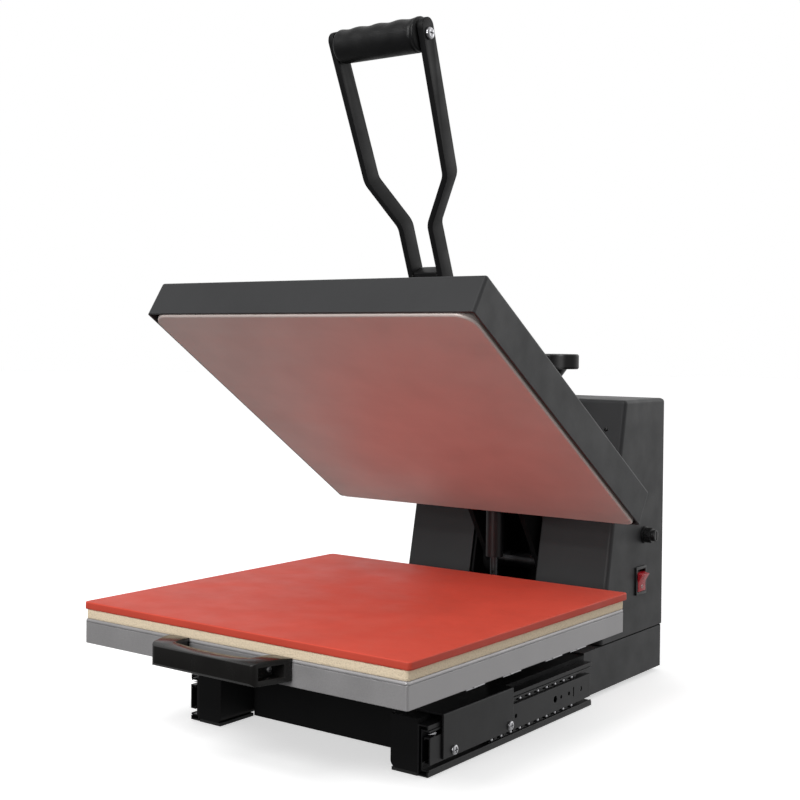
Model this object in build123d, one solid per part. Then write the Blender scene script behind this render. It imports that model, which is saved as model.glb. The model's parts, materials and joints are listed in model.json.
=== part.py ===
from build123d import *
import math
import os

# Clamshell heat press with a slide-out lower tray, in millimetres.
# X runs across the machine, Y towards its back and Z up.
# The origin is on the floor, under the middle of the machine's bounding box.
# The press is modelled open, with the tray pushed in.

# ---- driving dimensions ----
SHEET = 2.0                 # steel sheet of the covers
GAP = 0.3                   # space between parts that move past each other
RUNNING = 0.05              # radial clearance of every pin in its bore

OPEN_ANGLE = 33.5           # how far the upper platen stands open
HINGE_Y, HINGE_Z = 217.0, 125.0
HINGE_R = 9.0

FRONT_Y = -277.0            # front edge of the lower platen
PAD_SIZE = 380.0
PAD_THICK = 6.9
BOARD_SIZE = 375.0
BOARD_THICK = 8.7
TRAY_WIDTH = 376.0
TRAY_LENGTH = 375.5
TRAY_BOTTOM, TRAY_TOP = 87.0, 110.3
BOARD_TOP = TRAY_TOP + BOARD_THICK
PAD_TOP = BOARD_TOP + PAD_THICK

COVER_WIDTH = 386.0
COVER_LENGTH = 380.0
COVER_HEIGHT = 38.2
COVER_FRONT_Y = FRONT_Y - 2.0
PLATEN_BOTTOM = PAD_TOP + GAP
COVER_BOTTOM = PLATEN_BOTTOM + 2.4
COVER_TOP = COVER_BOTTOM + COVER_HEIGHT
PLATEN_WIDTH = 378.0
PLATEN_LENGTH = 375.2
PLATEN_THICK = 14.0
PLATEN_CORNER = 18.0        # front corners
PLATEN_BACK_CORNER = 9.0
PLATEN_EDGE = 2.2           # rounding of its lower edge

HOUSING_HALF = 131.0
HOUSING_BACK = 312.0
HOUSING_FRONT_LOW = 161.0   # front face at the seam
HOUSING_FRONT_HIGH = 215.0  # front face at the top
SEAM_Z = 52.0
SEAM_GAP = 1.4              # dark line between base and housing
HOUSING_BEND = 4.5          # outer radius of the housing's bends
HOUSING_TOP = 314.0
SLOT_HALF = 44.0
SLOT_TOP = 291.0

BASE_BOTTOM = 5.0
BOX_FRONT = 123.0
LEG_INNER = 102.0
LEG_FRONT = -180.0
LEG_BOTTOM, LEG_TOP = 3.0, 50.0
DECK_FRONT = -131.0
APRON_BOTTOM = 0.8

SLIDE_LENGTH = 300.0
SLIDE_HEIGHT = 44.8
SLIDE_BOTTOM = 0.6
SLIDE_SHEET = 1.2

FRAME_INNER, FRAME_OUTER = 41.0, 43.8     # side plates of the pivot frame
ARM_INNER, ARM_OUTER = 30.0, 36.0         # side plates of the upper arm
LEVER_INNER, LEVER_OUTER = 15.2, 21.2     # side plates of the lever
LINK_INNER, LINK_OUTER = 9.0, 14.9        # side plates of the toggle link

LEVER_Y, LEVER_Z = 83.0, 298.0            # lever pivot with the press open
LEVER_ANGLE = 111.7                       # direction of the handle, from +Y towards +Z
LEVER_PIN_R = 6.0
HEEL_ANGLE = -38.504                      # direction of the lever's heel
HEEL_LENGTH = 182.24
ADJUSTER_Y, ADJUSTER_Z = 285.0, 268.0     # back end of the toggle link
TRUNNION_R = 7.0

GRIP_DISTANCE = 403.0       # lever pivot to the middle of the grip
GRIP_HALF = 49.7
GRIP_R = 16.8
GRIP_WAVES = 4
GRIP_WAVE_DEPTH = 1.4
BAR_THICK = 6.0
BAR_WIDTH = 20.0
BAR_BEND_R = 14.0           # inner radius of its bends

SPRING_Y = 157.0            # gas spring, upright with the press open
SPRING_LOW, SPRING_HIGH = 68.0, 205.0
SPRING_PIN_R = 4.0
SPRING_TUBE_R = 10.0
SPRING_ROD_R = 5.0
SPRING_COLLAR = 136.0

KNOB_R = 31.0
KNOB_LOBE = 9.0             # depth of the hollows between its lobes
KNOB_TURN = 1.5
KNOB_BOTTOM, KNOB_TOP = 345.0, 363.0
SCREW_R = 6.0

FUSE_Y, FUSE_Z = 264.0, 161.0
SWITCH_Y, SWITCH_Z = 254.0, 111.0
ROCKER_AXIS_X = HOUSING_HALF - 4
ROCKER_PIN_R = 1.5
ROCKER_TILT = 14.0

PULL_HALF = 70.0            # half width at the tray
PULL_NOSE = 60.0            # half width at its front
PULL_DEPTH = 38.0
PULL_BOTTOM, PULL_TOP = 92.0, 112.4
PULL_CORNER = 8.0
PULL_SADDLE = 2.4           # dip of its upper side between the feet
PULL_SADDLE_HALF = 52.0
PULL_POCKET_X = 55.0        # floor of the pocket in each outer side


# ---- helpers ----
def block(x0, x1, y0, y1, z0, z1):
    """A box between two corners."""
    return Pos((x0 + x1) / 2, (y0 + y1) / 2, (z0 + z1) / 2) * Box(x1 - x0, y1 - y0, z1 - z0)


def x_cylinder(radius, x0, x1, y, z):
    """A cylinder along X."""
    return Pos((x0 + x1) / 2, y, z) * Rot(0, 90, 0) * Cylinder(radius, x1 - x0)


def y_cylinder(radius, y0, y1, x, z):
    """A cylinder along Y."""
    return Pos(x, (y0 + y1) / 2, z) * Rot(90, 0, 0) * Cylinder(radius, y1 - y0)


def z_cylinder(radius, z0, z1, x, y):
    """A cylinder along Z."""
    return Pos(x, y, (z0 + z1) / 2) * Cylinder(radius, z1 - z0)


def x_plate(points, x0, x1):
    """A plate with a side outline given as (y, z) points, between two X positions."""
    face = make_face(Polyline(*[(x0, y, z) for y, z in points], close=True))
    return extrude(face, amount=x1 - x0, dir=(1, 0, 0))


def tapered_outline(y0, z0, r0, y1, z1, r1):
    """The four tangent points that join two circles of a tapered plate."""
    length = math.hypot(y1 - y0, z1 - z0)
    heading = math.atan2(z1 - z0, y1 - y0)
    spread = math.acos((r0 - r1) / length)
    points = []
    for sign in (1, -1):
        angle = heading + sign * spread
        near = (y0 + r0 * math.cos(angle), z0 + r0 * math.sin(angle))
        far = (y1 + r1 * math.cos(angle), z1 + r1 * math.sin(angle))
        points += [near, far] if sign == 1 else [far, near]
    return points


def tapered_plate(y0, z0, r0, y1, z1, r1, x0, x1):
    """A plate with two round ends of different radii."""
    plate = x_plate(tapered_outline(y0, z0, r0, y1, z1, r1), x0, x1)
    return plate + x_cylinder(r0, x0, x1, y0, z0) + x_cylinder(r1, x0, x1, y1, z1)


def mirrored(shape):
    """The same shape on the other side of the machine."""
    return mirror(shape, about=Plane.YZ)


def both_sides(shape):
    """A shape and its mirror image, as separate solids."""
    return Compound(children=[*shape.solids(), *mirrored(shape).solids()])


def opened(shape):
    """A part of the upper platen, turned from closed to open about the hinge."""
    return shape.rotate(Axis((0, HINGE_Y, HINGE_Z), (1, 0, 0)), -OPEN_ANGLE)


def closed_point(y, z):
    """Where a point of the open upper arm lies when the press is closed."""
    turn = math.radians(OPEN_ANGLE)
    dy, dz = y - HINGE_Y, z - HINGE_Z
    return (HINGE_Y + dy * math.cos(turn) - dz * math.sin(turn),
            HINGE_Z + dy * math.sin(turn) + dz * math.cos(turn))


def front_face_y(z):
    """Y of the housing's raked front face at a height."""
    slope = (HOUSING_FRONT_HIGH - HOUSING_FRONT_LOW) / (HOUSING_TOP - SEAM_Z)
    return HOUSING_FRONT_LOW + slope * (z - SEAM_Z)


RAKE = math.degrees(math.atan2(HOUSING_FRONT_HIGH - HOUSING_FRONT_LOW, HOUSING_TOP - SEAM_Z))


def on_front_face(shape, x, z):
    """Puts a shape, modelled facing -Y at the origin, on the raked front face."""
    return Pos(x, front_face_y(z), z) * Rot(-RAKE, 0, 0) * shape


def on_lever(shape):
    """Puts a shape, modelled with the handle along +Z from the pivot, on the open lever."""
    return Pos(0, LEVER_Y, LEVER_Z) * Rot(LEVER_ANGLE - 90, 0, 0) * shape


def soften(shape, edges, radius):
    """Rounds edges, or leaves them sharp where the radius doesn't fit."""
    try:
        return fillet(edges, radius)
    except Exception:
        print("edge left sharp, radius", radius)
        return shape


LEVER_CLOSED = closed_point(LEVER_Y, LEVER_Z)
SPRING_CLOSED = closed_point(SPRING_Y, SPRING_HIGH)
HEEL_Y = LEVER_Y + HEEL_LENGTH * math.cos(math.radians(HEEL_ANGLE))
HEEL_Z = LEVER_Z + HEEL_LENGTH * math.sin(math.radians(HEEL_ANGLE))

parts = {}


# ---- base ----
def leg():
    """A closed-front box-section leg on the right-hand side."""
    outer = block(LEG_INNER, HOUSING_HALF, LEG_FRONT, BOX_FRONT, LEG_BOTTOM, LEG_TOP)
    corner = outer.edges().filter_by(Axis.Y).sort_by(lambda e: e.center().X + e.center().Z)[0]
    outer = soften(outer, [corner], 6)
    hollow = block(LEG_INNER + SHEET, HOUSING_HALF - SHEET, LEG_FRONT + SHEET, BOX_FRONT,
                   LEG_BOTTOM + SHEET, LEG_TOP - SHEET)
    return outer - hollow


def base_box():
    """The low sheet box under the housing, with a hatch below."""
    outer = block(-HOUSING_HALF, HOUSING_HALF, BOX_FRONT, HOUSING_BACK, BASE_BOTTOM, SEAM_Z)
    outer = soften(outer, outer.edges().filter_by(Axis.Z).group_by(Axis.Y)[-1], 3)
    hollow = block(-HOUSING_HALF + SHEET, HOUSING_HALF - SHEET, BOX_FRONT + SHEET,
                   HOUSING_BACK - SHEET, BASE_BOTTOM + SHEET, SEAM_Z - SHEET)
    hatch = block(-HOUSING_HALF + 60, HOUSING_HALF - 60, BOX_FRONT + 30, HOUSING_BACK - 60,
                  BASE_BOTTOM - 1, BASE_BOTTOM + SHEET)
    return outer - hollow - hatch


def base_deck():
    """A bent sheet between the legs: an apron in front and a deck behind it."""
    apron = block(-LEG_INNER, LEG_INNER, DECK_FRONT, DECK_FRONT + SHEET, APRON_BOTTOM, LEG_TOP)
    deck = block(-LEG_INNER, LEG_INNER, DECK_FRONT, BOX_FRONT, LEG_TOP - SHEET, LEG_TOP)
    return apron + deck


def rubber_feet():
    """Pads under the front of the legs and round feet under the box."""
    pad = block(LEG_INNER + 1, HOUSING_HALF - 0.5, LEG_FRONT + 0.5, DECK_FRONT, 0, LEG_BOTTOM)
    foot = z_cylinder(14, 0, BASE_BOTTOM, 92, HOUSING_BACK - 34)
    foot = soften(foot, foot.edges().group_by(Axis.Z)[0], 1.5)
    return both_sides(Compound(children=[pad, foot]))


parts["leg_right"] = leg()
parts["leg_left"] = mirrored(leg())
parts["base_box"] = base_box()
parts["base_deck"] = base_deck()
parts["rubber_feet"] = rubber_feet()


# ---- ball-bearing slides, on the outside of the legs ----
def channel(x_web, x_lip, z0, z1, y0, y1, curl):
    """A C-channel whose web is at x_web and whose lips reach to x_lip and curl inwards."""
    near, far = min(x_web, x_lip), max(x_web, x_lip)
    web = block(*sorted((x_web, x_web + math.copysign(SLIDE_SHEET, x_lip - x_web))), y0, y1, z0, z1)
    shape = web
    for z_low, z_high, curl_low, curl_high in ((z0, z0 + SLIDE_SHEET, z0, z0 + curl),
                                               (z1 - SLIDE_SHEET, z1, z1 - curl, z1)):
        shape += block(near, far, y0, y1, z_low, z_high)
        edge = sorted((x_lip, x_lip - math.copysign(SLIDE_SHEET, x_lip - x_web)))
        shape += block(*edge, y0, y1, curl_low, curl_high)
    return shape


SLIDE_BACK = LEG_FRONT + SLIDE_LENGTH
OUTER_TOP = SLIDE_BOTTOM + SLIDE_HEIGHT
MIDDLE_INSET = 4.4
INNER_INSET = 10.6
INNER_FACE = HOUSING_HALF + 12.2
BRACKET_FRONT, BRACKET_BACK = -161.0, -43.0
BRACKET_SCREW_Z = 17.5
BRACKET_STEP = LEG_TOP + 2.6     # height of the shelf that passes over the leg
BRACKET_SCREWS_Y = (BRACKET_FRONT + 17, BRACKET_BACK - 6)


def slide_outer():
    """The fixed member, screwed to the side of the leg."""
    return channel(HOUSING_HALF, HOUSING_HALF + 10.8, SLIDE_BOTTOM, OUTER_TOP,
                   LEG_FRONT, SLIDE_BACK, 4.0)


def slide_middle():
    """The telescopic member, which travels half as far as the tray."""
    low, high = SLIDE_BOTTOM + MIDDLE_INSET, OUTER_TOP - MIDDLE_INSET
    return channel(HOUSING_HALF + 2.8, HOUSING_HALF + 11.4, low, high, LEG_FRONT + 1, SLIDE_BACK - 2, 1.8)


def slide_inner():
    """The member that carries the tray, with its row of fixing holes."""
    low, high = SLIDE_BOTTOM + INNER_INSET, OUTER_TOP - INNER_INSET
    shape = channel(INNER_FACE, HOUSING_HALF + 5.8, low, high, LEG_FRONT + 1, SLIDE_BACK - 6, 2.4)
    for y, radius in ((-35, 2.2), (41, 3.4), (53, 1.8), (69, 2.2), (94, 2.6)):
        shape -= x_cylinder(radius, INNER_FACE - 3, INNER_FACE + 1, y, 23)
    shape -= block(INNER_FACE - 3, INNER_FACE + 1, 77.5, 79.5, 18, 28)
    for y in BRACKET_SCREWS_Y:
        shape -= x_cylinder(2.6, INNER_FACE - 3, INNER_FACE + 1, y, BRACKET_SCREW_Z)
    return shape


for side, place in (("right", lambda s: s), ("left", mirrored)):
    parts["slide_outer_" + side] = place(slide_outer())
    parts["slide_middle_" + side] = place(slide_middle())
    parts["slide_inner_" + side] = place(slide_inner())


# ---- lower tray ----
CROSSBARS_Y = (-142.0, -62.0, 40.0)
CROSSBAR_WIDTH = 28.0
CLIPS_Y = (-171.0, -111.0, -36.0, 11.0)
RIM_BAND = 3.0              # height of the band round the tray's rim
RIM_GROOVE = 0.7            # depth and height of the groove below it


def carriage_bracket():
    """A Z-shaped bracket that joins the inner slide member to the tray."""
    web = LEG_INNER + 12
    lower = block(INNER_FACE, INNER_FACE + SHEET, BRACKET_FRONT, BRACKET_BACK, 12.8, BRACKET_STEP)
    trim = lower.edges().filter_by(Axis.X).sort_by(lambda e: e.center().Z - e.center().Y)[0]
    lower = chamfer([trim], 6)
    step = block(web, INNER_FACE + SHEET, BRACKET_FRONT, BRACKET_BACK, BRACKET_STEP - SHEET, BRACKET_STEP)
    upper = block(web, web + SHEET, BRACKET_FRONT, BRACKET_BACK, BRACKET_STEP, TRAY_BOTTOM)
    flange = block(web, web + 30, BRACKET_FRONT, BRACKET_BACK, TRAY_BOTTOM - SHEET, TRAY_BOTTOM)
    shape = lower + step + upper + flange
    bend = shape.edges().filter_by(Axis.Y).sort_by(lambda e: e.center().X + e.center().Z)
    outer_bend = [e for e in bend if e.center().X > INNER_FACE + SHEET - 0.1 and e.center().Z > BRACKET_STEP - 0.1]
    shape = soften(shape, outer_bend, 1.8)
    for y in BRACKET_SCREWS_Y:
        shape -= x_cylinder(2.6, INNER_FACE - 1, INNER_FACE + 3, y, BRACKET_SCREW_Z)
    return shape


def tray():
    """The silver pan that holds the lower platen, open below."""
    half = TRAY_WIDTH / 2
    outer = block(-half, half, FRONT_Y, FRONT_Y + TRAY_LENGTH, TRAY_BOTTOM, TRAY_TOP)
    rims = outer.edges().group_by(Axis.Z)[-1] + outer.edges().filter_by(Axis.Z)
    outer = soften(outer, rims, 2.4)
    hollow = block(-half + SHEET, half - SHEET, FRONT_Y + SHEET, FRONT_Y + TRAY_LENGTH - SHEET,
                   TRAY_BOTTOM, TRAY_TOP - SHEET)
    band = block(-half - 1, half + 1, FRONT_Y - 1, FRONT_Y + TRAY_LENGTH + 1,
                 TRAY_TOP - RIM_BAND - RIM_GROOVE, TRAY_TOP - RIM_BAND)
    core = block(-half + RIM_GROOVE, half - RIM_GROOVE, FRONT_Y + RIM_GROOVE,
                 FRONT_Y + TRAY_LENGTH - RIM_GROOVE, TRAY_BOTTOM, TRAY_TOP)
    return outer - hollow - (band - core)


def tray_crossbars():
    """Square tubes across the underside of the tray."""
    half = TRAY_WIDTH / 2 - SHEET
    bars = []
    for y in CROSSBARS_Y:
        bar = block(-half, half, y - CROSSBAR_WIDTH / 2, y + CROSSBAR_WIDTH / 2,
                    TRAY_BOTTOM, TRAY_TOP - SHEET)
        bars.append(bar - block(-half, half, y - CROSSBAR_WIDTH / 2 + SHEET, y + CROSSBAR_WIDTH / 2 - SHEET,
                                TRAY_BOTTOM + SHEET, TRAY_TOP - 2 * SHEET))
    return Compound(children=bars)


def tray_clips():
    """Small bent clips over the lower rim of the tray's sides."""
    wall = TRAY_WIDTH / 2
    clips = []
    for y in CLIPS_Y:
        inner = block(wall - SHEET - 1.2, wall - SHEET, y - 9, y + 9, TRAY_BOTTOM - 1.2, TRAY_BOTTOM + 9)
        under = block(wall - SHEET - 7, wall - 0.4, y - 9, y + 9, TRAY_BOTTOM - 1.2, TRAY_BOTTOM)
        tab = block(wall - SHEET - 7, wall - SHEET - 5.8, y - 9, y + 9, TRAY_BOTTOM - 5, TRAY_BOTTOM)
        clips.append(inner + under + tab)
    return both_sides(Compound(children=clips))


def pull_handle():
    """The moulded pull on the tray's front: two feet, a raised bar and a pocket in each side."""
    back = FRONT_Y
    front = FRONT_Y - PULL_DEPTH
    side = [(back, PULL_BOTTOM), (back, PULL_TOP - 1.4), (back - 12, PULL_TOP), (front + 6, PULL_TOP - 0.6),
            (front, PULL_TOP - 3), (front, PULL_BOTTOM + 2.5), (front + 2.5, PULL_BOTTOM)]
    body = x_plate(side, -PULL_HALF, PULL_HALF)
    saddle = (PULL_SADDLE_HALF ** 2 + PULL_SADDLE ** 2) / (2 * PULL_SADDLE)
    body -= y_cylinder(saddle, front - 1, back + 1, 0, PULL_TOP - PULL_SADDLE + saddle)
    half_plan = [(PULL_HALF, back), (PULL_HALF, back - 5), (PULL_NOSE, front)]
    inner_plan = [(50, back), (46, front + 15)]
    plan = half_plan + [(-x, y) for x, y in reversed(half_plan)]
    outline = extrude(make_face(Polyline(*[(x, y, 80) for x, y in plan], close=True)), amount=40, dir=(0, 0, 1))
    outline = fillet(outline.edges().filter_by(Axis.Z).group_by(Axis.Y)[0], PULL_CORNER)
    opening = [(x, y) for x, y in inner_plan] + [(-x, y) for x, y in reversed(inner_plan)]
    opening = extrude(make_face(Polyline(*[(x, y, 80) for x, y in opening], close=True)), amount=40, dir=(0, 0, 1))
    opening = fillet(opening.edges().filter_by(Axis.Z).group_by(Axis.Y)[0], 5)
    body = (body & outline) - opening
    pocket = block(PULL_POCKET_X, PULL_HALF + 1, front + 5, back - 9, PULL_BOTTOM + 4.6, PULL_TOP - 5)
    return body - pocket - mirrored(pocket)


def silicone_pad():
    """The red pad on top, with slightly rounded corners."""
    pad = block(-PAD_SIZE / 2, PAD_SIZE / 2, FRONT_Y, FRONT_Y + PAD_SIZE, BOARD_TOP, PAD_TOP)
    return fillet(pad.edges().filter_by(Axis.Z), 4)


def drawer_screws():
    """Pan-head screws of the brackets and of the pull."""
    screws = []
    for y in BRACKET_SCREWS_Y:
        head = x_cylinder(4.6, INNER_FACE + SHEET, INNER_FACE + SHEET + 2.4, y, BRACKET_SCREW_Z)
        shank = x_cylinder(2.5, INNER_FACE - 1.5, INNER_FACE + SHEET, y, BRACKET_SCREW_Z)
        screws.append(head + shank)
    pull_screw = x_cylinder(3.4, PULL_POCKET_X, PULL_POCKET_X + 1.9, FRONT_Y - 13, (PULL_BOTTOM + PULL_TOP) / 2)
    screws.append(pull_screw)
    return both_sides(Compound(children=screws))


parts["carriage_bracket_right"] = carriage_bracket()
parts["carriage_bracket_left"] = mirrored(carriage_bracket())
parts["tray"] = tray()
parts["tray_crossbars"] = tray_crossbars()
parts["tray_clips"] = tray_clips()
parts["foam_board"] = block(-BOARD_SIZE / 2, BOARD_SIZE / 2, FRONT_Y + 1, FRONT_Y + 1 + BOARD_SIZE,
                            TRAY_TOP, BOARD_TOP)
parts["silicone_pad"] = silicone_pad()
parts["pull_handle"] = pull_handle()
parts["drawer_screws"] = drawer_screws()


# ---- housing ----
def housing_profile(inset):
    """Side outline of the housing, moved inwards by the sheet's thickness."""
    bottom = SEAM_Z + SEAM_GAP
    return [(front_face_y(bottom) + inset * 1.02, bottom), (HOUSING_BACK - inset, bottom),
            (HOUSING_BACK - inset, HOUSING_TOP - inset),
            (front_face_y(HOUSING_TOP - inset) + inset * 1.02, HOUSING_TOP - inset)]


def housing_shell():
    """Front, sides and top in one bent sheet, open behind and below."""
    outer = x_plate(housing_profile(0), -HOUSING_HALF, HOUSING_HALF)
    rims = [e for e in outer.edges() if abs(e.center().X) > HOUSING_HALF - 1
            and e.center().Y < (HOUSING_FRONT_LOW + HOUSING_FRONT_HIGH) / 2 + 1 and e.center().Z > 100]
    top_rims = outer.edges().group_by(Axis.Z)[-1]
    outer = soften(outer, rims + list(top_rims), HOUSING_BEND)
    inside = housing_profile(SHEET)
    inside[1] = (HOUSING_BACK + 1, SEAM_Z + SEAM_GAP)
    inside[2] = (HOUSING_BACK + 1, HOUSING_TOP - SHEET)
    shell = outer - x_plate(inside, -HOUSING_HALF + SHEET, HOUSING_HALF - SHEET)
    shell -= block(-SLOT_HALF, SLOT_HALF, HOUSING_FRONT_LOW - 5, HOUSING_FRONT_HIGH, SEAM_Z, SLOT_TOP)
    shell -= z_cylinder(SCREW_R + 3, HOUSING_TOP - 5, HOUSING_TOP + 1, 0, ADJUSTER_Y)
    shell -= x_cylinder(7.5, HOUSING_HALF - 5, HOUSING_HALF + 1, FUSE_Y, FUSE_Z)
    shell -= block(HOUSING_HALF - 5, HOUSING_HALF + 1, SWITCH_Y - 11, SWITCH_Y + 11,
                   SWITCH_Z - 14, SWITCH_Z + 14)
    shell -= on_front_face(block(-28, 28, -5, 8, -32, 32), PANEL_X, PANEL_Z)
    return shell


PANEL_X, PANEL_Z = -88.0, 228.0
INLET_X, INLET_Z = 70.0, 84.0


def rear_panel():
    """The flat back of the housing, with two banks of louvre slots."""
    panel = block(-HOUSING_HALF + SHEET, HOUSING_HALF - SHEET, HOUSING_BACK - SHEET, HOUSING_BACK,
                  SEAM_Z, HOUSING_TOP - SHEET)
    for x in (-62, 62):
        for row in range(6):
            z = 190 + 12 * row
            panel -= block(x - 28, x + 28, HOUSING_BACK - 4, HOUSING_BACK + 1, z, z + 3.5)
    panel -= block(INLET_X - 14, INLET_X + 14, HOUSING_BACK - 4, HOUSING_BACK + 1, INLET_Z - 10, INLET_Z + 10)
    return panel


FRAME_BACK = HOUSING_BACK - 5
FRAME_TOP = 296.0


def pivot_frame():
    """The welded steel frame inside the housing that carries hinge and adjuster."""
    outline = [(front_face_y(SEAM_Z) + 4, SEAM_Z), (FRAME_BACK, SEAM_Z), (FRAME_BACK, FRAME_TOP),
               (front_face_y(FRAME_TOP) + 4, FRAME_TOP)]
    side = x_plate(outline, FRAME_INNER, FRAME_OUTER)
    side -= x_cylinder(HINGE_R + RUNNING, FRAME_INNER - 1, FRAME_OUTER + 1, HINGE_Y, HINGE_Z)
    guide_low, guide_high = ADJUSTER_Z - 14, ADJUSTER_Z + 14
    side -= block(FRAME_INNER - 1, FRAME_OUTER + 1, ADJUSTER_Y - TRUNNION_R - 0.2,
                  ADJUSTER_Y + TRUNNION_R + 0.2, guide_low, guide_high)
    foot = block(FRAME_OUTER, FRAME_OUTER + 22, HINGE_Y - 40, HINGE_Y + 76, SEAM_Z, SEAM_Z + 3)
    frame = side + foot + mirrored(side) + mirrored(foot)
    frame += block(-FRAME_OUTER, FRAME_OUTER, FRAME_BACK - 3, FRAME_BACK, SEAM_Z, FRAME_TOP)
    bridge = block(-FRAME_OUTER, FRAME_OUTER, ADJUSTER_Y - 22, FRAME_BACK, FRAME_TOP - 4, FRAME_TOP)
    frame += bridge - z_cylinder(SCREW_R + 0.5, FRAME_TOP - 6, FRAME_TOP + 2, 0, ADJUSTER_Y)
    return frame


def hinge_shaft():
    """The main hinge shaft, with a collar at each end outside the frame."""
    shaft = x_cylinder(HINGE_R, -FRAME_OUTER - 8, FRAME_OUTER + 8, HINGE_Y, HINGE_Z)
    for x in (-FRAME_OUTER - 7, FRAME_OUTER):
        shaft += x_cylinder(HINGE_R + 5, x, x + 7, HINGE_Y, HINGE_Z)
    return shaft


def adjuster_block():
    """The threaded trunnion block at the back end of the toggle link."""
    half = LINK_INNER - GAP
    body = block(-half, half, ADJUSTER_Y - 9, ADJUSTER_Y + 8, ADJUSTER_Z - 13, ADJUSTER_Z + 13)
    body += x_cylinder(TRUNNION_R, -FRAME_OUTER, FRAME_OUTER, ADJUSTER_Y, ADJUSTER_Z)
    return body - z_cylinder(SCREW_R + RUNNING, ADJUSTER_Z - 15, ADJUSTER_Z + 15, 0, ADJUSTER_Y)


def screw_bushing():
    """The flanged bush and nut where the pressure screw leaves the housing."""
    bush = z_cylinder(16, HOUSING_TOP, HOUSING_TOP + 3, 0, ADJUSTER_Y)
    nut = extrude(Pos(0, ADJUSTER_Y, HOUSING_TOP + 3) * RegularPolygon(11, 6), 8)
    sleeve = z_cylinder(SCREW_R + 3, HOUSING_TOP - 4, HOUSING_TOP, 0, ADJUSTER_Y)
    return bush + nut + sleeve - z_cylinder(SCREW_R + RUNNING, 300, 330, 0, ADJUSTER_Y)


def spring_bracket():
    """The clevis and pin under the gas spring."""
    plate = block(-16, 16, SPRING_Y - 12, SPRING_Y + 12, SEAM_Z, SEAM_Z + 3)
    shape = plate
    for x in (-12.5, 9.5):
        shape += block(x, x + 3, SPRING_Y - 9, SPRING_Y + 9, SEAM_Z, SPRING_LOW + 9)
    pin = x_cylinder(SPRING_PIN_R, -15, 15, SPRING_Y, SPRING_LOW)
    return shape + pin


def control_panel():
    """The controller's bezel on the raked front, with its body behind the sheet."""
    bezel = block(-35, 35, -9, 0, -40, 40)
    bezel = soften(bezel, bezel.edges().group_by(Axis.Y)[0], 2.5)
    bezel -= block(-25, 25, -10, -8, 2, 30)
    for x in BUTTONS_X:
        bezel -= y_cylinder(BUTTON_R + GAP, -10, -3, x, -20)
    body = block(-27.5, 27.5, 0, 30, -31.5, 31.5) - block(-25, 25, -3, 28, -29, 29)
    return on_front_face(bezel + body, PANEL_X, PANEL_Z)


BUTTONS_X = (-20.0, 0.0, 20.0)
BUTTON_R = 6.0
BUTTON_TRAVEL = 1.2


def control_button(x):
    """One round key of the control panel."""
    key = y_cylinder(BUTTON_R, -10.5, -4.5, x, -20)
    key = soften(key, key.edges().group_by(Axis.Y)[0], 1)
    return on_front_face(key, PANEL_X, PANEL_Z)


def control_board():
    """The circuit board behind the bezel."""
    return on_front_face(block(-24, 24, 8, 9.6, -28, 28), PANEL_X, PANEL_Z)


def fuse_holder():
    """The fuse holder's ring, body and rear nut."""
    ring = x_cylinder(9.5, HOUSING_HALF, HOUSING_HALF + 2.5, FUSE_Y, FUSE_Z)
    body = x_cylinder(7.4, HOUSING_HALF - 32, HOUSING_HALF, FUSE_Y, FUSE_Z)
    nut = x_cylinder(10, HOUSING_HALF - 7, HOUSING_HALF - 2, FUSE_Y, FUSE_Z)
    return ring + body + nut - x_cylinder(6, HOUSING_HALF - 20, HOUSING_HALF + 4, FUSE_Y, FUSE_Z)


def fuse_cap():
    """The fluted cap that unscrews to reach the fuse, with a plain slotted end."""
    flute_end = HOUSING_HALF + 10.5
    cap = x_cylinder(8.4, HOUSING_HALF + 2.8, flute_end, FUSE_Y, FUSE_Z)
    for step in range(16):
        angle = math.radians(22.5 * step)
        groove_y = FUSE_Y + 8.8 * math.cos(angle)
        groove_z = FUSE_Z + 8.8 * math.sin(angle)
        cap -= x_cylinder(0.9, HOUSING_HALF + 4, flute_end + 1, groove_y, groove_z)
    end = x_cylinder(6.25, flute_end, HOUSING_HALF + 15, FUSE_Y, FUSE_Z)
    end = soften(end, end.edges().group_by(Axis.X)[-1], 1.2)
    end -= block(HOUSING_HALF + 13.6, HOUSING_HALF + 16, FUSE_Y - 0.8, FUSE_Y + 0.8, FUSE_Z - 5, FUSE_Z + 5)
    return cap + end + x_cylinder(5.92, HOUSING_HALF - 16, HOUSING_HALF + 2.8, FUSE_Y, FUSE_Z)


def switch_body():
    """The mains switch's bezel and body."""
    bezel = block(HOUSING_HALF, HOUSING_HALF + 2.2, SWITCH_Y - 12.5, SWITCH_Y + 12.5,
                  SWITCH_Z - 15.7, SWITCH_Z + 15.7)
    body = block(HOUSING_HALF - 22, HOUSING_HALF, SWITCH_Y - 10.8, SWITCH_Y + 10.8,
                 SWITCH_Z - 13.8, SWITCH_Z + 13.8)
    well = block(HOUSING_HALF - 12, HOUSING_HALF + 3, SWITCH_Y - 9.8, SWITCH_Y + 9.8,
                 SWITCH_Z - 12.6, SWITCH_Z + 12.6)
    bore = y_cylinder(ROCKER_PIN_R + RUNNING, SWITCH_Y - 11, SWITCH_Y + 11, ROCKER_AXIS_X, SWITCH_Z)
    return bezel + body - well - bore


def switch_rocker():
    """The red rocker: a shallow V seen from the side, tipped with its upper end out."""
    outline = [(-3, -10.2), (9.4, -10.0), (6.8, 0), (9.4, 10.0), (-3, 10.2)]
    face = make_face(Polyline(*[(x, -9.2, z) for x, z in outline], close=True))
    rocker = extrude(face, amount=18.4, dir=(0, 1, 0))
    rocker += y_cylinder(ROCKER_PIN_R, -10.6, 10.6, 0, 0)
    return Pos(ROCKER_AXIS_X, SWITCH_Y, SWITCH_Z) * Rot(0, ROCKER_TILT, 0) * rocker


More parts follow.
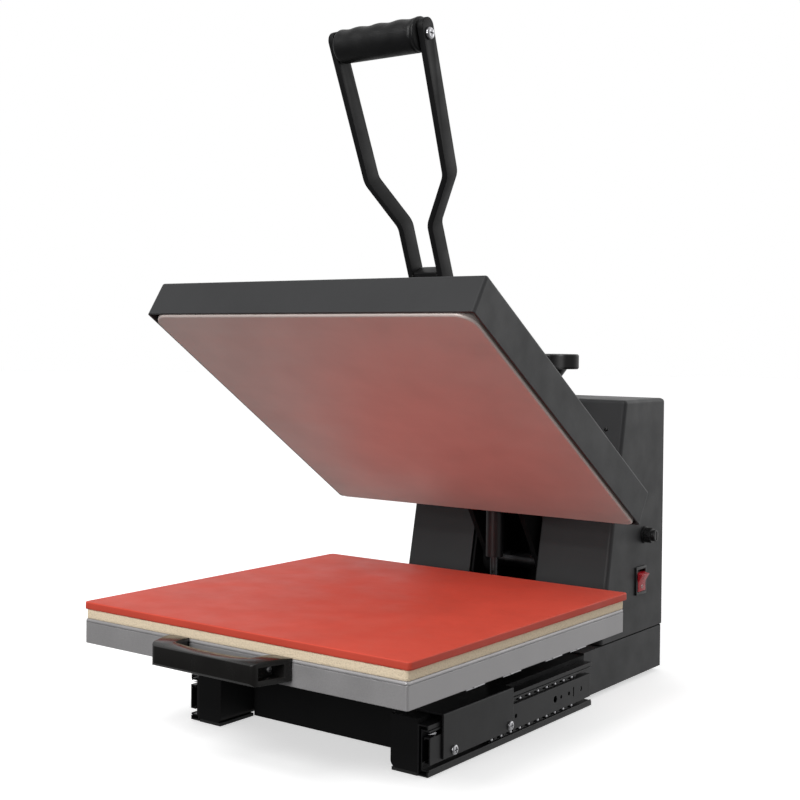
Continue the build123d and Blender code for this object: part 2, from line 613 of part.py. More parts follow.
def power_inlet():
    """The mains inlet in the back panel."""
    flange = block(INLET_X - 25, INLET_X + 25, HOUSING_BACK, HOUSING_BACK + 3, INLET_Z - 13, INLET_Z + 13)
    flange = soften(flange, flange.edges().filter_by(Axis.Y), 3)
    body = block(INLET_X - 13.8, INLET_X + 13.8, HOUSING_BACK - 24, HOUSING_BACK, INLET_Z - 9.8, INLET_Z + 9.8)
    cavity = block(INLET_X - 12, INLET_X + 12, HOUSING_BACK - 16, HOUSING_BACK + 4, INLET_Z - 8, INLET_Z + 8)
    shape = flange + body - cavity
    for x, z in ((-7, -2), (7, -2), (0, 2.5)):
        shape += block(INLET_X + x - 1, INLET_X + x + 1, HOUSING_BACK - 16, HOUSING_BACK - 2,
                       INLET_Z + z - 2.5, INLET_Z + z + 2.5)
    return shape


def relay():
    """The solid-state relay on the floor of the housing."""
    base = block(-116, -72, 236, 294, SEAM_Z, SEAM_Z + 5)
    return base + block(-114, -74, 240, 290, SEAM_Z + 5, SEAM_Z + 27)


def housing_screws():
    """Pan-head screws in the front face's upper corners and round the back."""
    screws = []
    for x in (-110, 110):
        head = y_cylinder(2.4, -1.2, 0, 0, 0)
        screws.append(on_front_face(head, x, 281.5))
        for z in (64, 180, 300):
            screws.append(y_cylinder(4, HOUSING_BACK, HOUSING_BACK + 2.2, x, z))
    return Compound(children=screws)


parts["housing_shell"] = housing_shell()
parts["rear_panel"] = rear_panel()
parts["pivot_frame"] = pivot_frame()
parts["hinge_shaft"] = hinge_shaft()
parts["adjuster_block"] = adjuster_block()
parts["screw_bushing"] = screw_bushing()
parts["spring_bracket"] = spring_bracket()
parts["control_panel"] = control_panel()
parts["control_board"] = control_board()
for key_name, key_x in zip(("button_down", "button_set", "button_up"), BUTTONS_X):
    parts[key_name] = control_button(key_x)
parts["fuse_holder"] = fuse_holder()
parts["fuse_cap"] = fuse_cap()
parts["switch_body"] = switch_body()
parts["switch_rocker"] = switch_rocker()
parts["power_inlet"] = power_inlet()
parts["relay"] = relay()
parts["housing_screws"] = housing_screws()


# ---- pressure adjuster ----
def pressure_knob():
    """A four-lobed hand knob with a flared hub."""
    steps = 32
    rim = []
    for step in range(steps):
        angle = 2 * math.pi * step / steps
        radius = KNOB_R - KNOB_LOBE * (1 - math.cos(4 * angle - KNOB_TURN)) / 2
        rim.append((radius * math.cos(angle), ADJUSTER_Y + radius * math.sin(angle), KNOB_BOTTOM))
    knob = extrude(make_face(Spline(*rim, periodic=True)), amount=KNOB_TOP - KNOB_BOTTOM, dir=(0, 0, 1))
    knob = soften(knob, knob.edges().group_by(Axis.Z)[-1] + knob.edges().group_by(Axis.Z)[0], 2.5)
    hub = Pos(0, ADJUSTER_Y, KNOB_BOTTOM - 5) * Cone(10, 17, 10)
    return knob + hub - z_cylinder(SCREW_R, KNOB_BOTTOM - 11, KNOB_TOP - 4, 0, ADJUSTER_Y)


parts["pressure_knob"] = pressure_knob()
parts["pressure_screw"] = z_cylinder(SCREW_R, ADJUSTER_Z - 18, KNOB_TOP - 4, 0, ADJUSTER_Y)


# ---- upper platen, modelled closed and then opened ----
ARM_FRONT = LEVER_CLOSED[0] - 100
FOOT_THICK = 4.0
BOLT_R = 2.0
BOLT_PLACES = [(ARM_OUTER + 15, y) for y in (ARM_FRONT + 16, (ARM_FRONT + COVER_FRONT_Y + COVER_LENGTH) / 2,
                                             COVER_FRONT_Y + COVER_LENGTH - 30)]


def cover_shell():
    """The sheet cover over the heating plate, open below."""
    half = COVER_WIDTH / 2
    back = COVER_FRONT_Y + COVER_LENGTH
    outer = block(-half, half, COVER_FRONT_Y, back, COVER_BOTTOM, COVER_TOP)
    rims = outer.edges().group_by(Axis.Z)[-1] + outer.edges().filter_by(Axis.Z)
    outer = soften(outer, rims, 3)
    shell = outer - block(-half + SHEET, half - SHEET, COVER_FRONT_Y + SHEET, back - SHEET,
                          COVER_BOTTOM, COVER_TOP - SHEET)
    for x, y in BOLT_PLACES:
        hole = z_cylinder(BOLT_R + RUNNING, COVER_TOP - SHEET - 1, COVER_TOP + 1, x, y)
        shell -= hole
        shell -= mirrored(hole)
    return shell


PLATEN_FRONT = COVER_FRONT_Y + 2.4


def heat_platen():
    """The cast aluminium heating plate with rounded corners and a softened lower edge."""
    half = PLATEN_WIDTH / 2
    plate = block(-half, half, PLATEN_FRONT, PLATEN_FRONT + PLATEN_LENGTH,
                  PLATEN_BOTTOM, PLATEN_BOTTOM + PLATEN_THICK)
    uprights = plate.edges().filter_by(Axis.Z).group_by(Axis.Y)
    plate = fillet(uprights[0], PLATEN_CORNER)
    plate = fillet(plate.edges().filter_by(Axis.Z).group_by(Axis.Y)[-1], PLATEN_BACK_CORNER)
    return soften(plate, plate.edges().group_by(Axis.Z)[0], PLATEN_EDGE)


def heating_element():
    """The tubular heater, laid in five parallel runs on top of the plate."""
    z = PLATEN_BOTTOM + PLATEN_THICK + 4
    middle = PLATEN_FRONT + PLATEN_LENGTH / 2
    reach, pitch = 140.0, 60.0
    runs = []
    for row in range(5):
        y = middle + (row - 2) * pitch
        runs.append(x_cylinder(4, -reach, reach, y, z))
        if row < 4:
            side = reach if row % 2 == 0 else -reach
            runs.append(y_cylinder(4, y, y + pitch, side, z))
            for corner_y in (y, y + pitch):
                runs.append(Pos(side, corner_y, z) * Sphere(4))
    path = runs[0]
    for run in runs[1:]:
        path += run
    return path


def insulation():
    """The mineral-wool blanket between heater and cover."""
    half = PLATEN_WIDTH / 2 - 4
    low = PLATEN_BOTTOM + PLATEN_THICK + 8.4
    return block(-half, half, PLATEN_FRONT + 4, PLATEN_FRONT + PLATEN_LENGTH - 4, low, COVER_TOP - SHEET)


def arm_plate():
    """A side plate of the upper arm: foot on the cover, lever pivot and hinge boss."""
    lever_y, lever_z = LEVER_CLOSED
    spring_y, spring_z = SPRING_CLOSED
    back = COVER_FRONT_Y + COVER_LENGTH
    outline = [(ARM_FRONT, COVER_TOP), (back + 5, COVER_TOP), (back + 8, spring_z - 10),
               (spring_y + 6, spring_z - 14), (HINGE_Y - 6, HINGE_Z - 16), (HINGE_Y + 14, HINGE_Z + 12),
               (spring_y + 60, COVER_TOP + 28), (lever_y + 26, lever_z + 14), (lever_y - 24, lever_z + 14),
               (ARM_FRONT, COVER_TOP + 14)]
    plate = x_plate(outline, ARM_INNER, ARM_OUTER)
    plate += x_cylinder(HINGE_R + 10, ARM_INNER, FRAME_INNER - GAP, HINGE_Y, HINGE_Z)
    plate += x_cylinder(LEVER_PIN_R + 6, LEVER_OUTER + GAP, ARM_INNER, lever_y, lever_z)
    foot = block(ARM_OUTER, ARM_OUTER + 26, ARM_FRONT, back - 12, COVER_TOP, COVER_TOP + FOOT_THICK)
    for x, y in BOLT_PLACES:
        foot -= z_cylinder(BOLT_R + RUNNING, COVER_TOP - 1, COVER_TOP + FOOT_THICK + 1, x, y)
    plate += foot
    plate -= x_cylinder(HINGE_R + RUNNING, ARM_INNER - 1, FRAME_INNER + 1, HINGE_Y, HINGE_Z)
    plate -= x_cylinder(LEVER_PIN_R, LEVER_OUTER, ARM_OUTER + 1, lever_y, lever_z)
    plate -= x_cylinder(SPRING_PIN_R, ARM_INNER - 1, ARM_OUTER + 1, spring_y, spring_z)
    return plate


def arm_bolts():
    """Hexagon bolts that hold the arm's feet, the cover and the plate together."""
    bolts = []
    for x, y in BOLT_PLACES:
        head = extrude(Pos(x, y, COVER_TOP + FOOT_THICK) * RegularPolygon(6.5, 6), 5.5)
        bolts.append(head + z_cylinder(BOLT_R, COVER_TOP - SHEET, COVER_TOP + FOOT_THICK, x, y))
    return both_sides(Compound(children=bolts))


def arm_spreader():
    """The round bar that holds the two arm plates apart in front of the lever."""
    return x_cylinder(6, -ARM_INNER, ARM_INNER, ARM_FRONT + 18, COVER_TOP + 8)


parts["cover_shell"] = opened(cover_shell())
parts["heat_platen"] = opened(heat_platen())
parts["heating_element"] = opened(heating_element())
parts["insulation"] = opened(insulation())
parts["arm_right"] = opened(arm_plate())
parts["arm_left"] = opened(mirrored(arm_plate()))
parts["arm_bolts"] = opened(arm_bolts())
parts["arm_spreader"] = opened(arm_spreader())
parts["lever_pin"] = x_cylinder(LEVER_PIN_R, -ARM_OUTER - 3, ARM_OUTER + 3, LEVER_Y, LEVER_Z)
parts["spring_pin"] = x_cylinder(SPRING_PIN_R, -ARM_OUTER - 2, ARM_OUTER + 2, SPRING_Y, SPRING_HIGH)


# ---- lever and handle ----
BAR_BENDS = ((18.2, -4.0), (18.2, 215.0), (48.6, 264.0), (54.6, GRIP_DISTANCE + 15.5))
BAR_LEAN = math.atan2(BAR_BENDS[3][0] - BAR_BENDS[2][0], BAR_BENDS[3][1] - BAR_BENDS[2][1])
GRIP_BAR_X = BAR_BENDS[3][0] - (BAR_BENDS[3][1] - GRIP_DISTANCE) * math.tan(BAR_LEAN)


def bar_strip():
    """The bent flat bar of the right-hand side, with round bends and a round upper end."""
    headings = [math.atan2(b[1] - a[1], b[0] - a[0]) for a, b in zip(BAR_BENDS, BAR_BENDS[1:])]
    sides = ([], [])
    for i, (x, z) in enumerate(BAR_BENDS):
        before = headings[max(i - 1, 0)]
        after = headings[min(i, len(headings) - 1)]
        middle = (before + after) / 2
        reach = BAR_THICK / 2 / math.cos((after - before) / 2)
        for side, sign in zip(sides, (1, -1)):
            side.append((x - sign * reach * math.sin(middle), -BAR_WIDTH / 2, z + sign * reach * math.cos(middle)))
    face = make_face(Polyline(*sides[0], *reversed(sides[1]), close=True))
    strip = extrude(face, amount=BAR_WIDTH, dir=(0, 1, 0))
    top = [e for e in strip.edges() if e.center().Z > BAR_BENDS[3][1] - 2 and abs(e.center().Y) > 1]
    strip = soften(strip, top, BAR_WIDTH / 2 - 0.5)
    for (x, z), outside in ((BAR_BENDS[1], -1), (BAR_BENDS[2], 1)):
        for sign, radius in ((outside, BAR_BEND_R), (-outside, BAR_BEND_R + BAR_THICK)):
            near = [e for e in strip.edges().filter_by(Axis.Y)
                    if abs(e.center().Z - z) < 6 and (e.center().X - x) * sign < 0]
            strip = soften(strip, near, radius)
    return strip


def handle_bar():
    """One side of the lever: the bent bar, the pivot eye and the heel."""
    heel_local = math.radians(HEEL_ANGLE - (LEVER_ANGLE - 90))
    heel_y, heel_z = HEEL_LENGTH * math.cos(heel_local), HEEL_LENGTH * math.sin(heel_local)
    shape = bar_strip() + tapered_plate(0, 0, 15, heel_y, heel_z, 11, LEVER_INNER, LEVER_OUTER)
    shape += tapered_plate(0, 0, 15, 0, 60, 10, LEVER_INNER, LEVER_OUTER)
    shape += x_cylinder(6, LEVER_OUTER, LEVER_OUTER + 3.8, heel_y, heel_z)
    shape -= x_cylinder(LEVER_PIN_R + RUNNING, LEVER_INNER - 1, LEVER_OUTER + 1, 0, 0)
    shape -= x_cylinder(5, 40, 70, 0, GRIP_DISTANCE)
    return on_lever(shape)


def handle_grip():
    """The moulded grip between the bars, scalloped for the fingers along its upper side."""
    grip = x_cylinder(GRIP_R, -GRIP_HALF, GRIP_HALF, 0, GRIP_DISTANCE)
    grip = soften(grip, grip.edges().group_by(Axis.X)[0], 3)
    half_wave = GRIP_HALF / GRIP_WAVES - 0.6
    radius = (half_wave ** 2 + GRIP_WAVE_DEPTH ** 2) / (2 * GRIP_WAVE_DEPTH)
    for wave in range(GRIP_WAVES):
        x = -GRIP_HALF + (2 * wave + 1) * GRIP_HALF / GRIP_WAVES
        grip -= y_cylinder(radius, -GRIP_R, GRIP_R, x, GRIP_DISTANCE + GRIP_R - GRIP_WAVE_DEPTH + radius)
    return on_lever(grip - x_cylinder(5, -GRIP_HALF - 1, GRIP_HALF + 1, 0, GRIP_DISTANCE))


def grip_screw():
    """The pan-head screw in the end of the grip's rod, on the bar's outer face."""
    head = x_cylinder(6, BAR_THICK / 2, BAR_THICK / 2 + 3.2, 0, 0)
    head = soften(head, head.edges().group_by(Axis.X)[-1], 1.6)
    return Pos(GRIP_BAR_X, 0, GRIP_DISTANCE) * Rot(0, math.degrees(BAR_LEAN), 0) * head


def grip_rod():
    """The steel rod through grip and bars."""
    reach = GRIP_BAR_X + BAR_THICK / 2 - 0.25
    return on_lever(x_cylinder(5, -reach, reach, 0, GRIP_DISTANCE))


def lever_block():
    """The block that ties the two bars together above the pivot."""
    tie = block(-LEVER_INNER, LEVER_INNER, -BAR_WIDTH / 2, BAR_WIDTH / 2, 122, 165)
    return on_lever(soften(tie, tie.edges().filter_by(Axis.Z), 3))


def toggle_link():
    """The two link plates, with a tube between them at the lever's end."""
    plate = tapered_plate(HEEL_Y, HEEL_Z, 11, ADJUSTER_Y, ADJUSTER_Z, 13, LINK_INNER, LINK_OUTER)
    plate -= x_cylinder(TRUNNION_R + RUNNING, LINK_INNER - 1, LINK_OUTER + 1, ADJUSTER_Y, ADJUSTER_Z)
    return plate + mirrored(plate) + x_cylinder(7, -LINK_OUTER, LINK_OUTER, HEEL_Y, HEEL_Z)


parts["handle_bar_right"] = handle_bar()
parts["handle_bar_left"] = mirrored(handle_bar())
parts["handle_grip"] = handle_grip()
parts["grip_screws"] = both_sides(on_lever(grip_screw()))
parts["grip_rod"] = grip_rod()
parts["lever_block"] = lever_block()
parts["toggle_link"] = toggle_link()


# ---- gas spring ----
def spring_tube():
    """The gas spring's tube, with the upper eye and an open collar."""
    tube = z_cylinder(SPRING_TUBE_R, SPRING_COLLAR, SPRING_HIGH - 10, 0, SPRING_Y)
    tube -= z_cylinder(SPRING_TUBE_R - 2, SPRING_COLLAR + 3, SPRING_HIGH - 13, 0, SPRING_Y)
    tube -= z_cylinder(SPRING_ROD_R + 1, SPRING_COLLAR - 1, SPRING_COLLAR + 4, 0, SPRING_Y)
    tube += z_cylinder(5, SPRING_HIGH - 12, SPRING_HIGH - 4, 0, SPRING_Y)
    eye = x_cylinder(9, -7, 7, SPRING_Y, SPRING_HIGH)
    return tube + eye - x_cylinder(SPRING_PIN_R + RUNNING, -8, 8, SPRING_Y, SPRING_HIGH)


def spring_rod():
    """The gas spring's rod, with the lower eye."""
    rod = z_cylinder(SPRING_ROD_R, SPRING_LOW + 5, SPRING_COLLAR + 12, 0, SPRING_Y)
    eye = x_cylinder(8.5, -7, 7, SPRING_Y, SPRING_LOW)
    return rod + eye - x_cylinder(SPRING_PIN_R + RUNNING, -8, 8, SPRING_Y, SPRING_LOW)


parts["spring_tube"] = spring_tube()
parts["spring_rod"] = spring_rod()


# ---- export ----
os.makedirs("parts", exist_ok=True)
for name, shape in parts.items():
    export_step(shape, os.path.join("parts", name + ".step"))
print(len(parts), "nodes")
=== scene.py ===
import json
import math

import bmesh
import bpy
from mathutils import Matrix, Vector, noise


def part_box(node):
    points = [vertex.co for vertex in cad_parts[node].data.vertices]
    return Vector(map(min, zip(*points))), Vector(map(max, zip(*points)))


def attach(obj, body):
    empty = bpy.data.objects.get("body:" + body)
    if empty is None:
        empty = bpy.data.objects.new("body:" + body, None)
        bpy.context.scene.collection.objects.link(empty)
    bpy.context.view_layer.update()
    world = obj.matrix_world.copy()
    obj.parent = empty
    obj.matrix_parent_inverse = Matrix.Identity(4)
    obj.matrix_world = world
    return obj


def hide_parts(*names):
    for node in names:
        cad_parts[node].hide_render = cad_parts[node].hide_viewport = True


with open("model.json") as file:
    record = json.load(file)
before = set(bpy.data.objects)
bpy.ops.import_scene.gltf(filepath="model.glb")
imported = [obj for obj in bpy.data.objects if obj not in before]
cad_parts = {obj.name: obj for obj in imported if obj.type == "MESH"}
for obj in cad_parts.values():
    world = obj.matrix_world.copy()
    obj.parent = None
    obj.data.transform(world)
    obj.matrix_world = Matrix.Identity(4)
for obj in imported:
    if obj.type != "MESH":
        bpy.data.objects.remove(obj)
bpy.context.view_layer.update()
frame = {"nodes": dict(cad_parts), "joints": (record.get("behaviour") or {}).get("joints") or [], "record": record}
nodes = frame["nodes"]
joints = {j["name"]: j for j in frame["joints"]}
mm = 0.001


# ---- materials ----
class Paint:
    """A material under construction: its node tree and its Principled shader."""

    def __init__(self, name, color, roughness, metallic=0.0, specular=0.5):
        self.material = bpy.data.materials.new(name)
        self.material.use_nodes = True
        self.tree = self.material.node_tree
        self.shader = self.tree.nodes["Principled BSDF"]
        self.shader.inputs["Base Color"].default_value = (*color, 1)
        self.shader.inputs["Roughness"].default_value = roughness
        self.shader.inputs["Metallic"].default_value = metallic
        self.shader.inputs["Specular IOR Level"].default_value = specular
        self.coords = self.tree.nodes.new("ShaderNodeTexCoord").outputs["Object"]
        self.normal = None

    def node(self, kind, **values):
        """Adds a node and sets its inputs by name, and its settings by attribute."""
        made = self.tree.nodes.new("ShaderNode" + kind)
        for key, value in values.items():
            if hasattr(made, key):
                setattr(made, key, value)
            else:
                socket = made.inputs[key.replace("_", " ")]
                if isinstance(value, bpy.types.NodeSocket):
                    self.tree.links.new(value, socket)
                else:
                    socket.default_value = value
        return made

    def stretched(self, x, y, z):
        """Object coordinates scaled along each axis, for brushed or woven detail."""
        return self.node("Mapping", Vector=self.coords, Scale=(x, y, z)).outputs["Vector"]

    def noise(self, scale, detail=3.0, roughness=0.5, vector=None):
        """A noise field whose scale is in features per metre."""
        return self.node("TexNoise", Vector=vector or self.coords, Scale=scale, Detail=detail,
                         Roughness=roughness).outputs["Fac"]

    def cells(self, scale):
        """The distance to the nearest cell centre, with a number of cells per metre."""
        return self.node("TexVoronoi", Vector=self.coords, Scale=float(scale)).outputs["Distance"]

    def ramp(self, field, low, high, out_low=0.0, out_high=1.0):
        """A field remapped between two values."""
        made = self.node("MapRange", clamp=True)
        self.tree.links.new(field, made.inputs["Value"])
        for name, value in (("From Min", low), ("From Max", high), ("To Min", out_low), ("To Max", out_high)):
            made.inputs[name].default_value = value
        return made.outputs["Result"]

    def tint(self, field, color_a, color_b):
        """Base colour between two colours, by a field."""
        made = self.node("Mix", data_type="RGBA")
        self.tree.links.new(field, made.inputs["Factor"])
        made.inputs["A"].default_value = (*color_a, 1)
        made.inputs["B"].default_value = (*color_b, 1)
        self.tree.links.new(made.outputs["Result"], self.shader.inputs["Base Color"])
        return made.outputs["Result"]

    def painted_side_shade(self, node, rim, dim):
        """Painted shade: a darker tone on the sides of a flat sheet below its rim, standing in for the dimmer light
        on the sides.
        """
        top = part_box(node)[1].z
        height = self.node("SeparateXYZ", Vector=self.coords).outputs["Z"]
        skin_color = self.shader.inputs["Base Color"].links[0].from_socket
        made = self.node("Mix", data_type="RGBA", blend_type="MULTIPLY", Factor=1.0, A=skin_color,
                         B=self.ramp(height, top - rim, top - 0.4 * rim, dim, 1.0))
        self.tree.links.new(made.outputs["Result"], self.shader.inputs["Base Color"])

    def gloss(self, field, low, high):
        """Roughness between two values, by a field."""
        self.tree.links.new(self.ramp(field, 0.3, 0.7, low, high), self.shader.inputs["Roughness"])

    def soft_edges(self, radius):
        """Rounded-looking edges."""
        self.normal = self.node("Bevel", samples=4, Radius=radius).outputs["Normal"]
        self.tree.links.new(self.normal, self.shader.inputs["Normal"])

    def bump(self, field, depth, strength=1.0):
        """Relief of a depth in metres, on top of any relief before it."""
        made = self.node("Bump", Strength=strength, Distance=depth)
        self.tree.links.new(field, made.inputs["Height"])
        if self.normal is not None:
            self.tree.links.new(self.normal, made.inputs["Normal"])
        self.normal = made.outputs["Normal"]
        self.tree.links.new(self.normal, self.shader.inputs["Normal"])


def shade(color, factor):
    """A colour made lighter or darker."""
    return tuple(min(1.0, c * factor) for c in color)


def coated_metal(name, color, roughness, grain=900, depth=0.06 * mm, edge=0.9 * mm, specular=0.4):
    """Powder coat: fine orange-peel relief, faint mottling and softened edges."""
    paint = Paint(name, color, roughness, specular=specular)
    paint.soft_edges(edge)
    paint.tint(paint.ramp(paint.noise(9, 4), 0.35, 0.65), shade(color, 0.92), shade(color, 1.1))
    paint.gloss(paint.noise(40, 5), roughness - 0.05, roughness + 0.07)
    paint.bump(paint.noise(grain, 2), depth)
    return paint.material


def moulded_plastic(name, color, roughness, grain=1600, depth=0.05 * mm, edge=0.6 * mm, specular=0.5):
    """Spark-eroded mould texture with slight colour variation."""
    paint = Paint(name, color, roughness, specular=specular)
    paint.soft_edges(edge)
    paint.tint(paint.ramp(paint.noise(25, 3), 0.3, 0.7), shade(color, 0.85), shade(color, 1.2))
    paint.gloss(paint.noise(70, 4), roughness - 0.06, roughness + 0.08)
    paint.bump(paint.cells(grain), depth)
    return paint.material


def plated_steel(name, color, roughness, along=(40, 40, 900), depth=0.01 * mm):
    """Bright plated steel with fine drawn lines."""
    paint = Paint(name, color, roughness, metallic=1.0)
    paint.soft_edges(0.4 * mm)
    paint.tint(paint.noise(60, 4), shade(color, 0.8), shade(color, 1.1))
    paint.gloss(paint.noise(120, 3), roughness - 0.06, roughness + 0.1)
    paint.bump(paint.noise(1, 3, 0.6, paint.stretched(*along)), depth)
    return paint.material


def silicone():
    """Red silicone sponge: matt, with a fine closed-cell speckle and painted shade on its sides."""
    color = (0.74, 0.085, 0.05)
    paint = Paint("red_silicone_skin", color, 0.62, specular=0.3)
    paint.tint(paint.ramp(paint.noise(14, 5, 0.6), 0.3, 0.7), shade(color, 0.94), shade(color, 1.06))
    # painted shade: the pad's sides are darkened below the rim, for the dimmer light that reaches them
    paint.painted_side_shade("silicone_pad", 1.1 * mm, 0.84)
    paint.gloss(paint.noise(30, 4), 0.5, 0.64)
    paint.bump(paint.cells(700), 0.12 * mm, 0.6)
    paint.bump(paint.noise(1500, 2), 0.05 * mm)
    return paint.material


def foam():
    """Cream foam board: open pores on the cut edges."""
    color = (0.84, 0.70, 0.51)
    paint = Paint("cream_foam_cells", color, 0.9, specular=0.2)
    cells = paint.cells(650)
    paint.tint(paint.ramp(cells, 0.05, 0.5), shade(color, 0.82), shade(color, 1.05))
    paint.bump(cells, 0.3 * mm)
    paint.bump(paint.noise(220, 4), 0.2 * mm)
    return paint.material


def coated_platen():
    """Non-stick coat on aluminium: a soft sheen with faint streaks from wiping."""
    color = (0.70, 0.60, 0.56)
    paint = Paint("platen_coat", color, 0.5, metallic=0.3, specular=0.5)
    paint.soft_edges(1.0 * mm)
    paint.tint(paint.ramp(paint.noise(18, 5), 0.3, 0.7), shade(color, 0.95), shade(color, 1.05))
    paint.gloss(paint.noise(1, 4, 0.6, paint.stretched(6, 60, 60)), 0.44, 0.56)
    paint.bump(paint.noise(1200, 2), 0.015 * mm)
    return paint.material


def silver_enamel():
    """Silver-grey enamel with a faint metallic flake."""
    color = (0.44, 0.43, 0.435)
    paint = Paint("silver_enamel", color, 0.42, metallic=0.5)
    paint.soft_edges(0.8 * mm)
    paint.tint(paint.ramp(paint.noise(2500, 2), 0.3, 0.7), shade(color, 0.88), shade(color, 1.12))
    paint.gloss(paint.noise(30, 5), 0.36, 0.5)
    paint.bump(paint.noise(700, 2), 0.02 * mm)
    return paint.material


def mineral_wool():
    """Matted pale fibres."""
    color = (0.72, 0.68, 0.52)
    paint = Paint("mineral_wool_fibres", color, 0.95, specular=0.1)
    fibres = paint.noise(1, 6, 0.7, paint.stretched(300, 60, 900))
    paint.tint(fibres, shade(color, 0.7), shade(color, 1.15))
    paint.bump(fibres, 0.8 * mm)
    return paint.material


def rocker_red():
    """Translucent red switch plastic."""
    paint = Paint("rocker_red", (0.55, 0.012, 0.02), 0.2)
    paint.shader.inputs["Transmission Weight"].default_value = 0.1
    paint.soft_edges(0.8 * mm)
    paint.tint(paint.noise(90, 3), (0.52, 0.01, 0.02), (0.68, 0.02, 0.035))
    paint.gloss(paint.noise(200, 3), 0.16, 0.28)
    paint.bump(paint.noise(1200, 2), 0.02 * mm)
    return paint.material


def circuit_board():
    """Green solder resist with a track-like pattern."""
    paint = Paint("board_green", (0.01, 0.12, 0.04), 0.35)
    tracks = paint.node("TexBrick", Vector=paint.stretched(180, 180, 180)).outputs["Fac"]
    paint.tint(tracks, (0.01, 0.12, 0.04), (0.03, 0.22, 0.08))
    paint.bump(tracks, 0.05 * mm)
    return paint.material


def smoked_window():
    """The dark glossy window of the controller."""
    paint = Paint("smoked_window", (0.012, 0.010, 0.010), 0.12)
    paint.tint(paint.noise(40, 3), (0.008, 0.007, 0.007), (0.018, 0.014, 0.014))
    paint.gloss(paint.noise(160, 4), 0.08, 0.2)
    paint.bump(paint.noise(30, 2), 0.02 * mm)
    return paint.material


def lit_digits(name, color):
    """Glowing segments, uneven as through a diffuser."""
    paint = Paint(name, color, 0.4)
    glow = paint.tint(paint.ramp(paint.noise(400, 2), 0.3, 0.7), shade(color, 0.6), color)
    paint.tree.links.new(glow, paint.shader.inputs["Emission Color"])
    paint.shader.inputs["Emission Strength"].default_value = 0.8
    paint.bump(paint.noise(900, 2), 0.02 * mm)
    return paint.material


def printed_white():
    """Screen-printed white ink, slightly worn."""
    paint = Paint("white_print", (0.7, 0.7, 0.68), 0.5)
    paint.tint(paint.ramp(paint.noise(500, 4), 0.4, 0.62), (0.38, 0.38, 0.37), (0.75, 0.75, 0.73))
    paint.gloss(paint.noise(300, 3), 0.4, 0.6)
    paint.bump(paint.noise(1500, 2), 0.02 * mm)
    return paint.material


BLACK = (0.0078, 0.0078, 0.0082)
finishes = {
    "charcoal_coat": coated_metal("charcoal_powder_coat", (0.032, 0.0325, 0.034), 0.5),
    "black_steel": coated_metal("black_powder_coat", BLACK, 0.5, specular=0.2),
    "slide_steel": coated_metal("black_electro_coat", (0.012, 0.012, 0.013), 0.36, grain=500, depth=0.02 * mm,
                                specular=0.35),
    "bright_steel": plated_steel("zinc_plate", (0.62, 0.62, 0.64), 0.28),
    "black_screw": plated_steel("black_oxide", (0.06, 0.06, 0.06), 0.4),
    "spring_black": coated_metal("gloss_black_tube", (0.009, 0.009, 0.010), 0.32, grain=300, depth=0.01 * mm),
    "foot_rubber": moulded_plastic("foot_rubber_skin", (0.014, 0.014, 0.014), 0.75),
    "black_plastic": moulded_plastic("black_moulding", BLACK, 0.36),
    "grip_plastic": moulded_plastic("grip_moulding", BLACK, 0.42, grain=1100, depth=0.1 * mm, specular=0.3),
    "red_plastic": rocker_red(),
    "circuit_board": circuit_board(),
    "silver_coat": silver_enamel(),
    "cream_foam": foam(),
    "red_silicone": silicone(),
    "platen_aluminium": coated_platen(),
    "heater_steel": plated_steel("heater_sheath", (0.3, 0.28, 0.25), 0.5),
    "mineral_wool": mineral_wool(),
}
slots = {part["node"]: part["material_slot"] for part in frame["record"]["subparts"]}
dark_steel = plated_steel("dark_steel", (0.10, 0.10, 0.105), 0.3)
glossy_moulding = moulded_plastic("glossy_moulding", (0.009, 0.0085, 0.008), 0.22, grain=900, depth=0.02 * mm,
                                  specular=0.4)
own_finish = {"hinge_shaft": dark_steel, "spring_rod": dark_steel, "pull_handle": glossy_moulding}
# a darker, duller black for the legs, deck, inner frame and arms: partly their own black paint, partly painted shade
# for where they sit under the tray and inside the slot
dull_black_painted_shade = coated_metal("dull_black_painted_shade_coat", (0.0065, 0.0065, 0.0068), 0.62, specular=0.15)
for node in ("leg_left", "leg_right", "base_deck", "pivot_frame", "arm_left", "arm_right"):
    own_finish[node] = dull_black_painted_shade
for node in ("carriage_bracket_left", "carriage_bracket_right"):
    own_finish[node] = finishes["slide_steel"]
for node, slot in slots.items():
    mesh = nodes[node].data
    mesh.materials.clear()
    mesh.materials.append(own_finish.get(node, finishes[slot]))


# ---- mesh helpers ----
def facing(point, direction):
    """A frame at a point whose own Z looks along a direction."""
    return Matrix.Translation(point) @ Vector(direction).to_track_quat("Z", "Y").to_matrix().to_4x4()


def axes_frame(point, across, up):
    """A frame at a point from its X and Z directions."""
    across, up = Vector(across).normalized(), Vector(up).normalized()
    forward = up.cross(across)
    return Matrix.Translation(point) @ Matrix((across, forward, up)).transposed().to_4x4()


def skin(bm, rings, place=None, ends=True):
    """Faces between rings of the same number of points, closed at both ends."""
    place = place or Matrix.Identity(4)
    rows = [[bm.verts.new(place @ Vector(p)) for p in ring] for ring in rings]
    for near, far in zip(rows, rows[1:]):
        for i, point in enumerate(near):
            after = (i + 1) % len(near)
            bm.faces.new((point, near[after], far[after], far[i]))
    if ends:
        bm.faces.new(list(reversed(rows[0])))
        bm.faces.new(rows[-1])
    return rows


def circle(radius, z, steps=24):
    """A ring of points about Z."""
    return [(radius * math.cos(2 * math.pi * i / steps), radius * math.sin(2 * math.pi * i / steps), z)
            for i in range(steps)]


def lathe(bm, profile, place, steps=32):
    """A turned shape from (radius, height) pairs, about its own Z."""
    skin(bm, [circle(radius, z, steps) for radius, z in profile], place)


def washer(bm, inner, outer, thick, place, edge=0.2 * mm, steps=32):
    """A flat ring with broken edges, standing on its own XY plane."""
    profile = ((inner, 0), (outer - edge, 0), (outer, edge), (outer, thick - edge), (outer - edge, thick),
               (inner, thick), (inner, 0))
    skin(bm, [circle(radius, z, steps) for radius, z in profile], place, ends=False)


